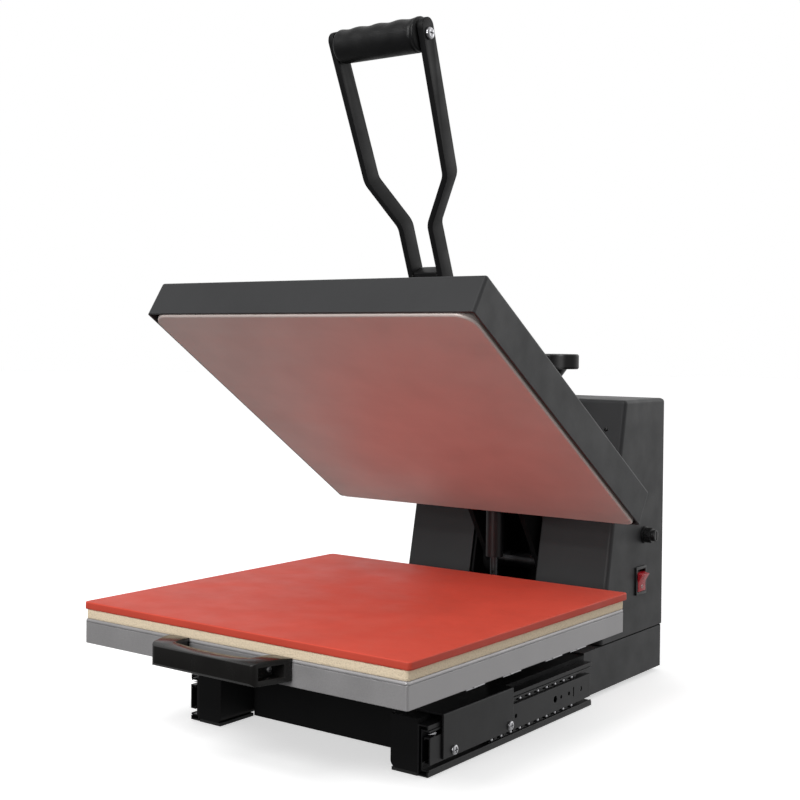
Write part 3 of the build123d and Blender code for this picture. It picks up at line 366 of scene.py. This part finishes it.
def piece(name, bm, paint, body, stands_for=(), crease=35):
    """Turns a mesh in the row frame into a piece that rides on a body."""
    bmesh.ops.remove_doubles(bm, verts=bm.verts, dist=0.001 * mm)
    bmesh.ops.recalc_face_normals(bm, faces=bm.faces)
    mesh = bpy.data.meshes.new(name)
    bm.to_mesh(mesh)
    bm.free()
    mesh.materials.append(paint)
    mesh.polygons.foreach_set("use_smooth", [True] * len(mesh.polygons))
    mesh.set_sharp_from_angle(angle=math.radians(crease))
    made = bpy.data.objects.new(name, mesh)
    bpy.context.scene.collection.objects.link(made)
    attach(made, body)
    if stands_for:
        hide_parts(*stands_for)
    return made


def solids(node):
    """The corner boxes of the separate solids of a CAD node."""
    bm = bmesh.new()
    bm.from_mesh(nodes[node].data)
    bmesh.ops.remove_doubles(bm, verts=bm.verts, dist=0.01 * mm)
    seen, boxes = set(), []
    for first in bm.verts:
        if first in seen:
            continue
        seen.add(first)
        island, queue = [first], [first]
        while queue:
            for edge in queue.pop().link_edges:
                for point in edge.verts:
                    if point not in seen:
                        seen.add(point)
                        island.append(point)
                        queue.append(point)
        spots = [point.co for point in island]
        boxes.append((Vector([min(s[i] for s in spots) for i in range(3)]),
                      Vector([max(s[i] for s in spots) for i in range(3)])))
    bm.free()
    return sorted(boxes, key=lambda corners: tuple(round(c, 5) for c in corners[0]))


def middle(corners):
    """The centre of a box."""
    return (corners[0] + corners[1]) / 2


def softened(node, width, body, crease=35):
    """A copy of a CAD node with real rounded edges, which stands for it."""
    bm = bmesh.new()
    bm.from_mesh(nodes[node].data)
    bmesh.ops.remove_doubles(bm, verts=bm.verts, dist=0.005 * mm)
    bmesh.ops.dissolve_limit(bm, angle_limit=math.radians(0.6), verts=bm.verts, edges=bm.edges)
    mesh = bpy.data.meshes.new(node + "_rough")
    bm.to_mesh(mesh)
    bm.free()
    rough = bpy.data.objects.new(node + "_rough", mesh)
    bpy.context.scene.collection.objects.link(rough)
    bevel = rough.modifiers.new("edges", "BEVEL")
    bevel.width = width
    bevel.segments = 3
    bevel.limit_method = "ANGLE"
    bevel.angle_limit = math.radians(40)
    bevel.miter_outer = "MITER_ARC"
    bpy.context.view_layer.update()
    rounded = bpy.data.meshes.new_from_object(rough.evaluated_get(bpy.context.evaluated_depsgraph_get()))
    bpy.data.objects.remove(rough)
    bm = bmesh.new()
    bm.from_mesh(rounded)
    bpy.data.meshes.remove(rounded)
    return piece(node + "_rounded", bm, nodes[node].data.materials[0], body, (node,), crease)


# ---- soft sheets on the tray ----
def rounded_outline(half_x, half_y, corner, z, turn_steps=6, side_steps=20):
    """A rounded rectangle of points about Z."""
    points = []
    for quarter, (sx, sy) in enumerate(((1, 1), (-1, 1), (-1, -1), (1, -1))):
        for step in range(turn_steps + 1):
            angle = math.radians(90 * quarter + 90 * step / turn_steps)
            points.append(Vector((sx * (half_x - corner) + corner * math.cos(angle),
                                  sy * (half_y - corner) + corner * math.sin(angle), z)))
        start = points[-1]
        turn = ((-1, 1), (-1, -1), (1, -1), (1, 1))[quarter]
        if quarter % 2 == 0:
            end = Vector((turn[0] * (half_x - corner), start.y, z))
        else:
            end = Vector((start.x, turn[1] * (half_y - corner), z))
        points += [start.lerp(end, step / side_steps) for step in range(1, side_steps)]
    return points


def soft_sheet(name, node, corner, rim, wave, pore, paint):
    """A flat pad with rounded rims, a gently uneven top and slightly uneven cut sides."""
    low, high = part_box(node)
    centre = middle((low, high))
    half_x, half_y = (high.x - low.x) / 2, (high.y - low.y) / 2
    layers = [(t, low.z) for t in (60 * mm, 20 * mm, 6 * mm, 0.3 * rim)]
    layers += [(0.0, low.z + 0.4 * rim)]
    layers += [(0.0, low.z + 0.4 * rim + (high.z - low.z - 1.4 * rim) * i / 4) for i in range(1, 5)]
    for step in range(1, 5):
        angle = math.pi / 8 * step
        layers.append((rim * (1 - math.cos(angle)), high.z - rim + rim * math.sin(angle)))
    layers += [(t * mm, high.z) for t in (4, 10, 20, 34, 50, 68, 88, 110, 132, 154, 170)]
    bm = bmesh.new()
    rings = []
    for inset, z in layers:
        ring = rounded_outline(half_x - inset, half_y - inset, max(corner - inset, 1.5 * mm), z)
        rings.append([p + Vector((centre.x, centre.y, 0)) for p in ring])
    skin(bm, rings)
    for point in bm.verts:
        spot = point.co
        edge = min(half_x - abs(spot.x - centre.x), half_y - abs(spot.y - centre.y))
        if spot.z > low.z + 0.5 * (high.z - low.z):
            swell = noise.noise(Vector((spot.x, spot.y, 0)) * 14)
            point.co.z += wave * swell * min(1, 0.35 + edge / (20 * mm))
        if edge < rim:
            shift = pore * noise.noise(spot * 45) + 0.4 * pore * noise.noise(spot * 260)
            outward = Vector((spot.x - centre.x, spot.y - centre.y, 0))
            along_x = half_x - abs(outward.x) < half_y - abs(outward.y)
            if along_x:
                point.co.x += math.copysign(shift, outward.x)
            else:
                point.co.y += math.copysign(shift, outward.y)
    return piece(name, bm, paint, "carriage", (node,), crease=60)


pad = soft_sheet("pad_sheet", "silicone_pad", 4 * mm, 1.1 * mm, 0.22 * mm, 0.25 * mm, finishes["red_silicone"])
board = soft_sheet("foam_sheet", "foam_board", 3 * mm, 0.7 * mm, 0.0, 0.35 * mm, finishes["cream_foam"])


# ---- screws ----
def cross_screw(bm, base, direction, radius, height):
    """A pan head with a cross recess."""
    reach, width = 0.6 * radius, 0.14 * radius
    between = (reach + width) / 2
    recess = []
    for quarter in range(4):
        turn = Matrix.Rotation(quarter * math.pi / 2, 3, "Z")
        for x, y in ((reach, 0), (reach, width), (between, width), (width, width), (width, between), (width, reach)):
            recess.append(turn @ Vector((x, y, 0)))
    rings = [circle(radius * share, height * level)
             for share, level in ((1, 0), (1, 0.3), (0.96, 0.55), (0.88, 0.76), (0.76, 0.92), (0.68, 0.97))]
    rings.append([p + Vector((0, 0, height * 0.98)) for p in recess])
    rings.append([p * 0.72 + Vector((0, 0, height * 0.3)) for p in recess])
    skin(bm, rings, facing(base, direction))


def hex_head(bm, base, direction, apothem, height):
    """A hexagon head with a chamfered top, on a washer."""
    place = facing(base, direction)

    def ring(z, limit):
        points = []
        for step in range(36):
            angle = math.radians(10 * step)
            flat = (angle + math.pi / 6) % (math.pi / 3) - math.pi / 6
            radius = min(apothem / math.cos(flat), limit)
            points.append((radius * math.cos(angle), radius * math.sin(angle), z))
        return points

    wide = 2 * apothem
    skin(bm, [ring(0.0, wide), ring(0.72 * height, wide), ring(0.9 * height, 1.06 * apothem),
              ring(height, 0.95 * apothem), ring(height, 0.5 * apothem)], place)
    washer(bm, 0.8 * apothem, 1.5 * apothem, 1.0 * mm, place)


panel_in = Vector(joints["key_set_press"]["axis"]).normalized()
face_out = -panel_in


def screws_of(node):
    """Detailed heads where a node's screws are, each with its outward direction."""
    found = []
    for low, high in solids(node):
        centre = middle((low, high))
        if node == "housing_screws":
            raked = centre.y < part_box("housing_shell")[1].y - 10 * mm
            out = face_out if raked else Vector((0, 1, 0))
            radius = (high.x - low.x) / 2
            depth = 1.2 * mm if raked else 2.2 * mm
            found.append((centre - out * depth / 2, out, radius, depth))
        else:
            side = math.copysign(1, centre.x)
            radius = (high.y - low.y) / 2
            depth = 0.54 * radius
            top = high.x if side > 0 else low.x
            found.append((Vector((top - side * depth, centre.y, centre.z)), Vector((side, 0, 0)), radius, depth))
    return found


for node, body, paint in (("drawer_screws", "carriage", finishes["bright_steel"]),
                          ("housing_screws", "root", finishes["black_screw"]),
                          ("grip_screws", "lever", finishes["bright_steel"])):
    bm = bmesh.new()
    for base, out, radius, depth in screws_of(node):
        cross_screw(bm, base, out, radius, depth)
    piece(node + "_cross", bm, paint, body, (node,))

open_turn = Matrix.Rotation(-math.radians(joints["platen_hinge"]["range_deg"][1]), 3, "X")
upper_up = open_turn @ Vector((0, 0, 1))
upper_back = open_turn @ Vector((0, 1, 0))

bolts = [middle(corners) for corners in solids("arm_bolts")]
bm = bmesh.new()
for spot in bolts:
    hex_head(bm, spot + upper_up * 0.25 * mm, upper_up, 5.6 * mm, 5.4 * mm)
piece("arm_bolts_hex", bm, finishes["bright_steel"], "upper", ("arm_bolts",))


# ---- lever and grip ----
lever_pivot = Vector(joints["handle_hinge"]["pos_m"])
grip_centre = middle(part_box("grip_rod"))
lever_up = (grip_centre - lever_pivot).normalized()
GRIP_R = 17.2 * mm
GRIP_HALF = 49.6 * mm
GRIP_END_R = 4 * mm             # rounding of the closed end
GRIP_GROOVE_END = 5.2 * mm      # the flange's groove ends here, counted from the other end
WAVES = 4
WAVE_DEPTH = 1.2 * mm


def grip():
    """The moulded grip: finger waves along its upper side, a flange and rounded ends."""
    bm = bmesh.new()
    rings = []
    steps, around = 96, 48
    for step in range(steps + 1):
        share = step / steps
        x = -GRIP_HALF + 2 * GRIP_HALF * share
        from_left, from_right = x + GRIP_HALF, GRIP_HALF - x
        radius = GRIP_R
        if from_left < GRIP_END_R:
            radius -= GRIP_END_R - math.sqrt(max(0.0, GRIP_END_R ** 2 - (GRIP_END_R - from_left) ** 2))
        if 4 * mm < from_right < GRIP_GROOVE_END:
            radius -= 0.7 * mm
        elif from_right <= 1 * mm:
            radius -= 1 * mm - from_right
        wave = 0.5 - 0.5 * math.cos(2 * math.pi * WAVES * share)
        ring = []
        for turn in range(around):
            angle = 2 * math.pi * turn / around
            upper_side = max(0.0, math.cos(angle)) ** 2.5
            depth = WAVE_DEPTH * wave * upper_side if from_right > GRIP_GROOVE_END else 0.0
            ring.append((x, (radius - depth) * math.sin(angle), (radius - depth) * math.cos(angle)))
        rings.append(ring)
    skin(bm, rings, axes_frame(grip_centre, (1, 0, 0), lever_up))
    return piece("grip_waved", bm, finishes["grip_plastic"], "lever", ("handle_grip",), crease=50)


grip()


def bead(bm, start, end, radius):
    """A weld bead with its ripples, from one point to another."""
    start, end = Vector(start), Vector(end)
    place = facing(start, end - start)
    length = (end - start).length
    count = max(8, int(length / (0.9 * mm)))
    rings = []
    for step in range(count + 1):
        z = length * step / count
        uneven = noise.noise(Vector((z * 90, start.x, start.y)))
        swell = 1 + 0.16 * math.sin(2 * math.pi * z / (2.7 * mm)) + 0.12 * uneven
        if step in (0, count):
            swell = 0.35
        rings.append(circle(radius * swell, z, 12))
    skin(bm, rings, place)


TIE_LOW, TIE_HIGH = 124 * mm, 163 * mm      # the lever block's ends, up the lever from its pivot
TIE_FACE = 9.9 * mm
lever_frame = axes_frame(lever_pivot, (1, 0, 0), lever_up)
tie_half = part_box("lever_block")[1].x
bm = bmesh.new()
for side in (-1, 1):
    for face in (-1, 1):
        x, y = side * tie_half, face * TIE_FACE
        bead(bm, lever_frame @ Vector((x, y, TIE_LOW)), lever_frame @ Vector((x, y, TIE_HIGH)), 1.3 * mm)
piece("lever_welds", bm, finishes["black_steel"], "lever")

arm_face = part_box("arm_spreader")[1].x + 6 * mm
bm = bmesh.new()
for side in (-1, 1):
    row = sorted((spot for spot in bolts if spot.x * side > 0), key=lambda spot: spot.dot(upper_back))
    for share in (0.0, 0.45, 0.85):
        start = row[0].lerp(row[-1], share)
        start = Vector((side * arm_face, start.y, start.z)) + upper_up * 0.3 * mm
        bead(bm, start, start + upper_back * 22 * mm, 2.0 * mm)
piece("arm_welds", bm, finishes["black_steel"], "upper")


# ---- pins ----
def ring_clips(name, body, places):
    """Retaining rings at pin ends: (centre, radius of pin, width)."""
    bm = bmesh.new()
    for centre, radius, wide in places:
        place = axes_frame(Vector(centre) - Vector((wide / 2, 0, 0)), (0, 0, 1), (1, 0, 0))
        washer(bm, radius * 0.94, radius + 2.2 * mm, wide, place)
    piece(name, bm, finishes["black_screw"], body)


def pin_ends(node, inset, wide):
    """The places of two rings near the ends of a pin along X."""
    low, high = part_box(node)
    centre = middle((low, high))
    radius = (high.z - low.z) / 2
    return [((x, centre.y, centre.z), radius, wide) for x in (low.x + inset, high.x - inset)]


ring_clips("pin_rings", "upper",
           pin_ends("lever_pin", 1.6 * mm, 1.0 * mm) + pin_ends("spring_pin", 1.0 * mm, 0.8 * mm))


# ---- control panel ----
key_centre = {name: middle(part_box(name)) for name in ("button_down", "button_set", "button_up")}
panel_up = Vector((1, 0, 0)).cross(panel_in)
KEY_MIDDLE_DEPTH = 7.5 * mm
KEY_DROP = 20 * mm
panel_origin = key_centre["button_set"] + panel_in * KEY_MIDDLE_DEPTH + panel_up * KEY_DROP
panel_frame = axes_frame(panel_origin, (1, 0, 0), panel_up)
WINDOW_FACE = -8.0 * mm


def plate(bm, corners_x, corners_z, y, thick, place, edge=0.25 * mm):
    """A flat plaque facing its own -Y, with bevelled front edges."""
    (x0, x1), (z0, z1) = corners_x, corners_z
    rings = []
    for inset, depth in ((0, y), (0, y - thick + edge), (edge, y - thick)):
        rings.append([(x0 + inset, depth, z0 + inset), (x1 - inset, depth, z0 + inset),
                      (x1 - inset, depth, z1 - inset), (x0 + inset, depth, z1 - inset)])
    skin(bm, rings, place)


bm = bmesh.new()
plate(bm, (-24.7 * mm, 24.7 * mm), (2.3 * mm, 29.7 * mm), WINDOW_FACE, 0.5 * mm, panel_frame)
piece("panel_window", bm, smoked_window(), "root")

SEGMENTS = {"0": "abcdef", "1": "bc", "8": "abcdefg", "6": "acdefg", "2": "abged", "5": "afgcd"}


def digits(bm, text, left, bottom, height, face):
    """Seven-segment figures on the panel."""
    width, bar = 0.52 * height, 0.1 * height
    half = height / 2
    spans = {"a": (0, width, height, 0), "g": (0, width, half, 0), "d": (0, width, 0, 0),
             "f": (0, 0, half, half), "b": (width, 0, half, half), "e": (0, 0, 0, half), "c": (width, 0, 0, half)}
    for place, figure in enumerate(text):
        for segment in SEGMENTS[figure]:
            x, along_x, z, along_z = spans[segment]
            x += left + place * (width + 3.2 * bar)
            z += bottom
            if along_x:
                plate(bm, (x + bar, x + along_x), (z - bar / 2, z + bar / 2), face, 0.2 * mm, panel_frame, 0.08 * mm)
            else:
                plate(bm, (x, x + bar), (z + bar * 0.7, z + along_z - bar * 0.7), face, 0.2 * mm, panel_frame,
                      0.08 * mm)


FIGURE_FACE = WINDOW_FACE - 0.45 * mm
bm = bmesh.new()
digits(bm, "180", -19 * mm, 17.5 * mm, 9 * mm, FIGURE_FACE)
piece("figures_heat", bm, lit_digits("red_segments", (0.9, 0.03, 0.015)), "root")
bm = bmesh.new()
digits(bm, "60", -12.5 * mm, 5.2 * mm, 7 * mm, FIGURE_FACE)
piece("figures_time", bm, lit_digits("green_segments", (0.05, 0.75, 0.12)), "root")


def key_mark(name, key, points):
    """A raised mark on a key's face, given as (x, z) points in mm."""
    place = axes_frame(key_centre[key] + panel_in * KEY_MIDDLE_DEPTH, (1, 0, 0), panel_up)
    bm = bmesh.new()
    rings = [[(x * mm, y * mm, z * mm) for x, z in points] for y in (-10.4, -10.65)]
    skin(bm, rings, place)
    piece(name, bm, white_print, key.replace("button", "key"))


white_print = printed_white()
key_mark("mark_down", "button_down", ((-2.4, 1.3), (2.4, 1.3), (0, -2.2)))
key_mark("mark_up", "button_up", ((-2.4, -1.3), (2.4, -1.3), (0, 2.2)))
key_mark("mark_set", "button_set", [(2.0 * math.cos(a * math.pi / 12), 2.0 * math.sin(a * math.pi / 12))
                                   for a in range(24)])

bm = bmesh.new()
for x, z in ((18 * mm, 21 * mm), (16 * mm, 8 * mm)):
    lathe(bm, ((1.1 * mm, 0), (1.1 * mm, 0.25 * mm), (0.8 * mm, 0.35 * mm)),
          panel_frame @ facing(Vector((x, FIGURE_FACE, z)), (0, -1, 0)), 20)
piece("status_lamps", bm, lit_digits("amber_lamps", (0.9, 0.35, 0.02)), "root")


# ---- back panel ----
LOUVRE_X = 62 * mm
LOUVRE_HALF = 28 * mm
LOUVRE_LOW, LOUVRE_PITCH, LOUVRE_ROWS = 190 * mm, 12 * mm, 6
SLOT_HIGH = 3.5 * mm


def louvre(bm, x, z, back):
    """A pressed hood over one slot: full height in the middle, closed at both ends."""
    rings = []
    for step in range(29):
        along = -1 + 2 * step / 28
        rise = 2.7 * mm * (1 - abs(along) ** 8) ** 0.5 + 0.02 * mm
        reach = z + SLOT_HIGH
        outer = [(back - 0.2 * mm, reach + 2.6 * mm), (back + 0.45 * rise, reach + 2.2 * mm),
                 (back + 0.85 * rise, reach + 0.9 * mm), (back + rise, reach - 0.9 * mm),
                 (back + rise, reach - 2.6 * mm)]
        hollow = back + max(rise - 0.8 * mm, 0.0)
        inner = [(hollow, reach - 2.6 * mm), (hollow, reach - 0.9 * mm),
                 (back + 0.3 * rise, reach + 0.9 * mm), (back - 0.2 * mm, reach + 1.2 * mm)]
        rings.append([(x + along * (LOUVRE_HALF + 1.5 * mm), y, height) for y, height in outer + inner])
    skin(bm, rings)


bm = bmesh.new()
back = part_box("rear_panel")[1].y
for side in (-1, 1):
    for row in range(LOUVRE_ROWS):
        louvre(bm, side * LOUVRE_X, LOUVRE_LOW + LOUVRE_PITCH * row, back)
piece("back_louvres", bm, finishes["charcoal_coat"], "root", crease=50)

inlet_low, inlet_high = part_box("power_inlet")
inlet_centre = middle((inlet_low, inlet_high))
bm = bmesh.new()
for x, z in ((-7, -2), (7, -2), (0, 2.5)):
    spot = Vector((inlet_centre.x + x * mm, back - 12 * mm, inlet_centre.z + z * mm))
    half_x, half_z = 1.15 * mm, 2.65 * mm
    rings = []
    for shrink, y in ((1, -4 * mm), (1, 8.5 * mm), (0.7, 10.2 * mm)):
        rings.append([(half_x * shrink * sx, y, half_z * (1 if shrink == 1 else 0.85) * sz)
                      for sx, sz in ((-1, -1), (1, -1), (1, 1), (-1, 1))])
    skin(bm, rings, Matrix.Translation(spot))
piece("inlet_blades", bm, finishes["bright_steel"], "root")


# ---- mains switch ----
rocker_pivot = Vector(joints["switch_rock"]["pos_m"])
ROCKER_TILT = math.radians(14)
rocker_frame = Matrix.Translation(rocker_pivot) @ Matrix.Rotation(ROCKER_TILT, 4, "Y")
bm = bmesh.new()
slope = Vector((10, 0, -2.6))
upper_face = rocker_frame @ facing(Vector((8.15, 0, 5)) * mm, slope)
lower_face = rocker_frame @ facing(Vector((8.15, 0, -5)) * mm, Vector((10, 0, 2.6)))
washer(bm, 1.3 * mm, 2.1 * mm, 0.2 * mm, lower_face, 0.05 * mm)
rings = [[(x * mm, y * mm, z * mm) for x, y in ((-0.4, -2.2), (0.4, -2.2), (0.4, 2.2), (-0.4, 2.2))]
         for z in (-0.05, 0.2)]
skin(bm, rings, upper_face)
piece("rocker_marks", bm, white_print, "rocker")


# ---- drawer slides ----
BALL_R = 2.15 * mm
BALL_PITCH = 17 * mm


def ball(bm, centre, radius):
    """A hardened ball."""
    bmesh.ops.create_icosphere(bm, subdivisions=3, radius=radius, matrix=Matrix.Translation(centre))


def cages(side):
    """Two ball cages between the middle and the inner slide member."""
    suffix = "_right" if side > 0 else "_left"
    low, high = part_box("slide_middle" + suffix)
    inner_low, inner_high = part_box("slide_inner" + suffix)
    wall = low.x if side > 0 else high.x
    strip, balls = bmesh.new(), bmesh.new()
    first, last = low.y + 100 * mm, low.y + 262 * mm
    for edge, toward in ((inner_high.z, 1), (inner_low.z, -1)):
        centre_z = edge + toward * 2.5 * mm
        x0 = wall + side * 5.0 * mm
        for z_side in (-1, 1):
            rings = []
            for step in range(25):
                y = first + (last - first) * step / 24
                z = centre_z + z_side * 1.7 * mm
                rings.append([(x0, y, z - 0.5 * mm), (x0 + side * 1.2 * mm, y, z - 0.5 * mm),
                              (x0 + side * 1.2 * mm, y, z + 0.5 * mm), (x0, y, z + 0.5 * mm)])
            skin(strip, rings)
        y = first + 5 * mm
        while y < last - 3 * mm:
            ball(balls, Vector((x0 + side * 0.6 * mm, y, centre_z)), BALL_R)
            window = facing(Vector((x0 + side * 0.1 * mm, y + BALL_PITCH / 2, centre_z)), (side, 0, 0))
            lathe(strip, ((2.6 * mm, -0.55 * mm), (2.9 * mm, -0.55 * mm), (2.9 * mm, 0.55 * mm),
                          (2.6 * mm, 0.55 * mm)), window @ Matrix.Scale(0.74, 4, (0, 1, 0)), 20)
            y += BALL_PITCH
    piece("ball_cage" + suffix, strip, finishes["slide_steel"], "slide_middle")
    piece("slide_balls" + suffix, balls, finishes["bright_steel"], "slide_middle", crease=80)


def end_stop(side):
    """The bent triangular stop at the front of the middle member."""
    suffix = "_right" if side > 0 else "_left"
    low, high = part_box("slide_middle" + suffix)
    face = high.x if side > 0 else low.x
    bm = bmesh.new()
    top = high.z - 3.6 * mm
    outline = ((low.y + 0.5 * mm, top), (low.y + 13 * mm, top), (low.y + 12 * mm, top - 2.2 * mm))
    skin(bm, [[(face - side * x * mm, y, z) for y, z in outline] for x in (2.4, 1.2)])
    piece("slide_stop" + suffix, bm, finishes["bright_steel"], "slide_middle")


for side in (1, -1):
    cages(side)
    end_stop(side)


# ---- rounded copies of moulded and cut parts ----
for node, width, body in (("pull_handle", 1.3, "carriage"), ("lever_block", 1.0, "lever"),
                          ("handle_bar_left", 0.9, "lever"), ("handle_bar_right", 0.9, "lever"),
                          ("control_panel", 0.5, "root"), ("switch_body", 0.5, "root"),
                          ("power_inlet", 0.4, "root"), ("switch_rocker", 0.5, "rocker"),
                          ("screw_bushing", 0.5, "root"), ("tray_clips", 0.3, "carriage")):
    softened(node, width * mm, body)


# ---- studio ----
LIGHTS = (
    ("key_softbox", (-0.3, -2.4, 2.3), (0, -0.1, 0.2), (1.3, 1.3), 50),
    ("front_softbox", (0.1, -2.8, 0.8), (0, 0, 0.2), (1.0, 0.8), 21),
    ("back_softbox", (1.6, 2.6, 1.3), (0.1, 0.1, 0.3), (1.8, 1.6), 8),
)


def studio():
    """Pale floor, soft lights and a plain backdrop that is dimmer towards the front."""
    bpy.ops.mesh.primitive_circle_add(vertices=96, radius=14, fill_type="NGON", location=(0, 0, -0.0005))
    floor = bpy.context.object
    floor.name = "studio_floor"
    paint = Paint("floor_paper", (0.86, 0.86, 0.86), 0.85, specular=0.1)
    paint.tint(paint.noise(2, 3), (0.85, 0.85, 0.85), (0.88, 0.88, 0.88))
    paint.shader.inputs["Emission Color"].default_value = (1, 1, 1, 1)
    paint.shader.inputs["Emission Strength"].default_value = 0.55
    floor.data.materials.append(paint.material)
    floor.visible_diffuse = False
    floor.visible_glossy = False

    world = bpy.data.worlds.new("studio_air")
    bpy.context.scene.world = world
    world.use_nodes = True
    tree = world.node_tree
    lit = tree.nodes["Background"]
    lit.inputs["Color"].default_value = (1, 1, 1, 1)
    heading = tree.nodes.new("ShaderNodeSeparateXYZ")
    tree.links.new(tree.nodes.new("ShaderNodeTexCoord").outputs["Generated"], heading.inputs["Vector"])
    fades = []
    for axis, low, high, dim, bright in (("Y", -0.8, 0.9, 0.12, 1.0), ("Z", -0.3, 0.05, 0.5, 1.0)):
        fade = tree.nodes.new("ShaderNodeMapRange")
        tree.links.new(heading.outputs[axis], fade.inputs["Value"])
        for name, value in (("From Min", low), ("From Max", high), ("To Min", dim), ("To Max", bright)):
            fade.inputs[name].default_value = value
        fades.append(fade.outputs["Result"])
    both = tree.nodes.new("ShaderNodeMath")
    both.operation = "MULTIPLY"
    tree.links.new(fades[0], both.inputs[0])
    tree.links.new(fades[1], both.inputs[1])
    tree.links.new(both.outputs["Value"], lit.inputs["Strength"])
    seen = tree.nodes.new("ShaderNodeBackground")
    mix = tree.nodes.new("ShaderNodeMixShader")
    tree.links.new(tree.nodes.new("ShaderNodeLightPath").outputs["Is Camera Ray"], mix.inputs["Fac"])
    tree.links.new(lit.outputs["Background"], mix.inputs[1])
    seen.inputs["Color"].default_value = (1, 1, 1, 1)
    tree.links.new(seen.outputs["Background"], mix.inputs[2])
    tree.links.new(mix.outputs["Shader"], tree.nodes["World Output"].inputs["Surface"])

    for name, place, aim, size, power in LIGHTS:
        light = bpy.data.lights.new(name, "AREA")
        light.shape = "RECTANGLE"
        light.size, light.size_y = size
        light.energy = power
        lamp = bpy.data.objects.new(name, light)
        lamp.location = place
        lamp.rotation_euler = (Vector(aim) - Vector(place)).to_track_quat("-Z", "Y").to_euler()
        lamp.visible_camera = False
        bpy.context.scene.collection.objects.link(lamp)

    bpy.context.scene.view_settings.view_transform = "Standard"


VIEW_AZIMUTH = math.radians(37.52)
VIEW_PITCH = math.radians(0.92)
VIEW_ROLL = math.radians(0.54)
VIEW_PLACE = Vector((0.78847, -1.12997, 0.37717))
SENSOR = 36.0


def add_camera():
    """The photograph's viewing angle, with its small off-centre framing."""
    data = bpy.data.cameras.new("view")
    data.sensor_width = SENSOR
    data.lens = SENSOR * 1338.7 / 800
    data.shift_x = 0.0558
    data.shift_y = -0.0479
    camera = bpy.data.objects.new("view", data)
    ahead = Vector((-math.sin(VIEW_AZIMUTH) * math.cos(VIEW_PITCH),
                    math.cos(VIEW_AZIMUTH) * math.cos(VIEW_PITCH), -math.sin(VIEW_PITCH)))
    turn = ahead.to_track_quat("-Z", "Y").to_matrix().to_4x4() @ Matrix.Rotation(VIEW_ROLL, 4, "Z")
    camera.matrix_world = Matrix.Translation(VIEW_PLACE) @ turn
    bpy.context.scene.collection.objects.link(camera)
    bpy.context.scene.camera = camera


add_camera()
studio()
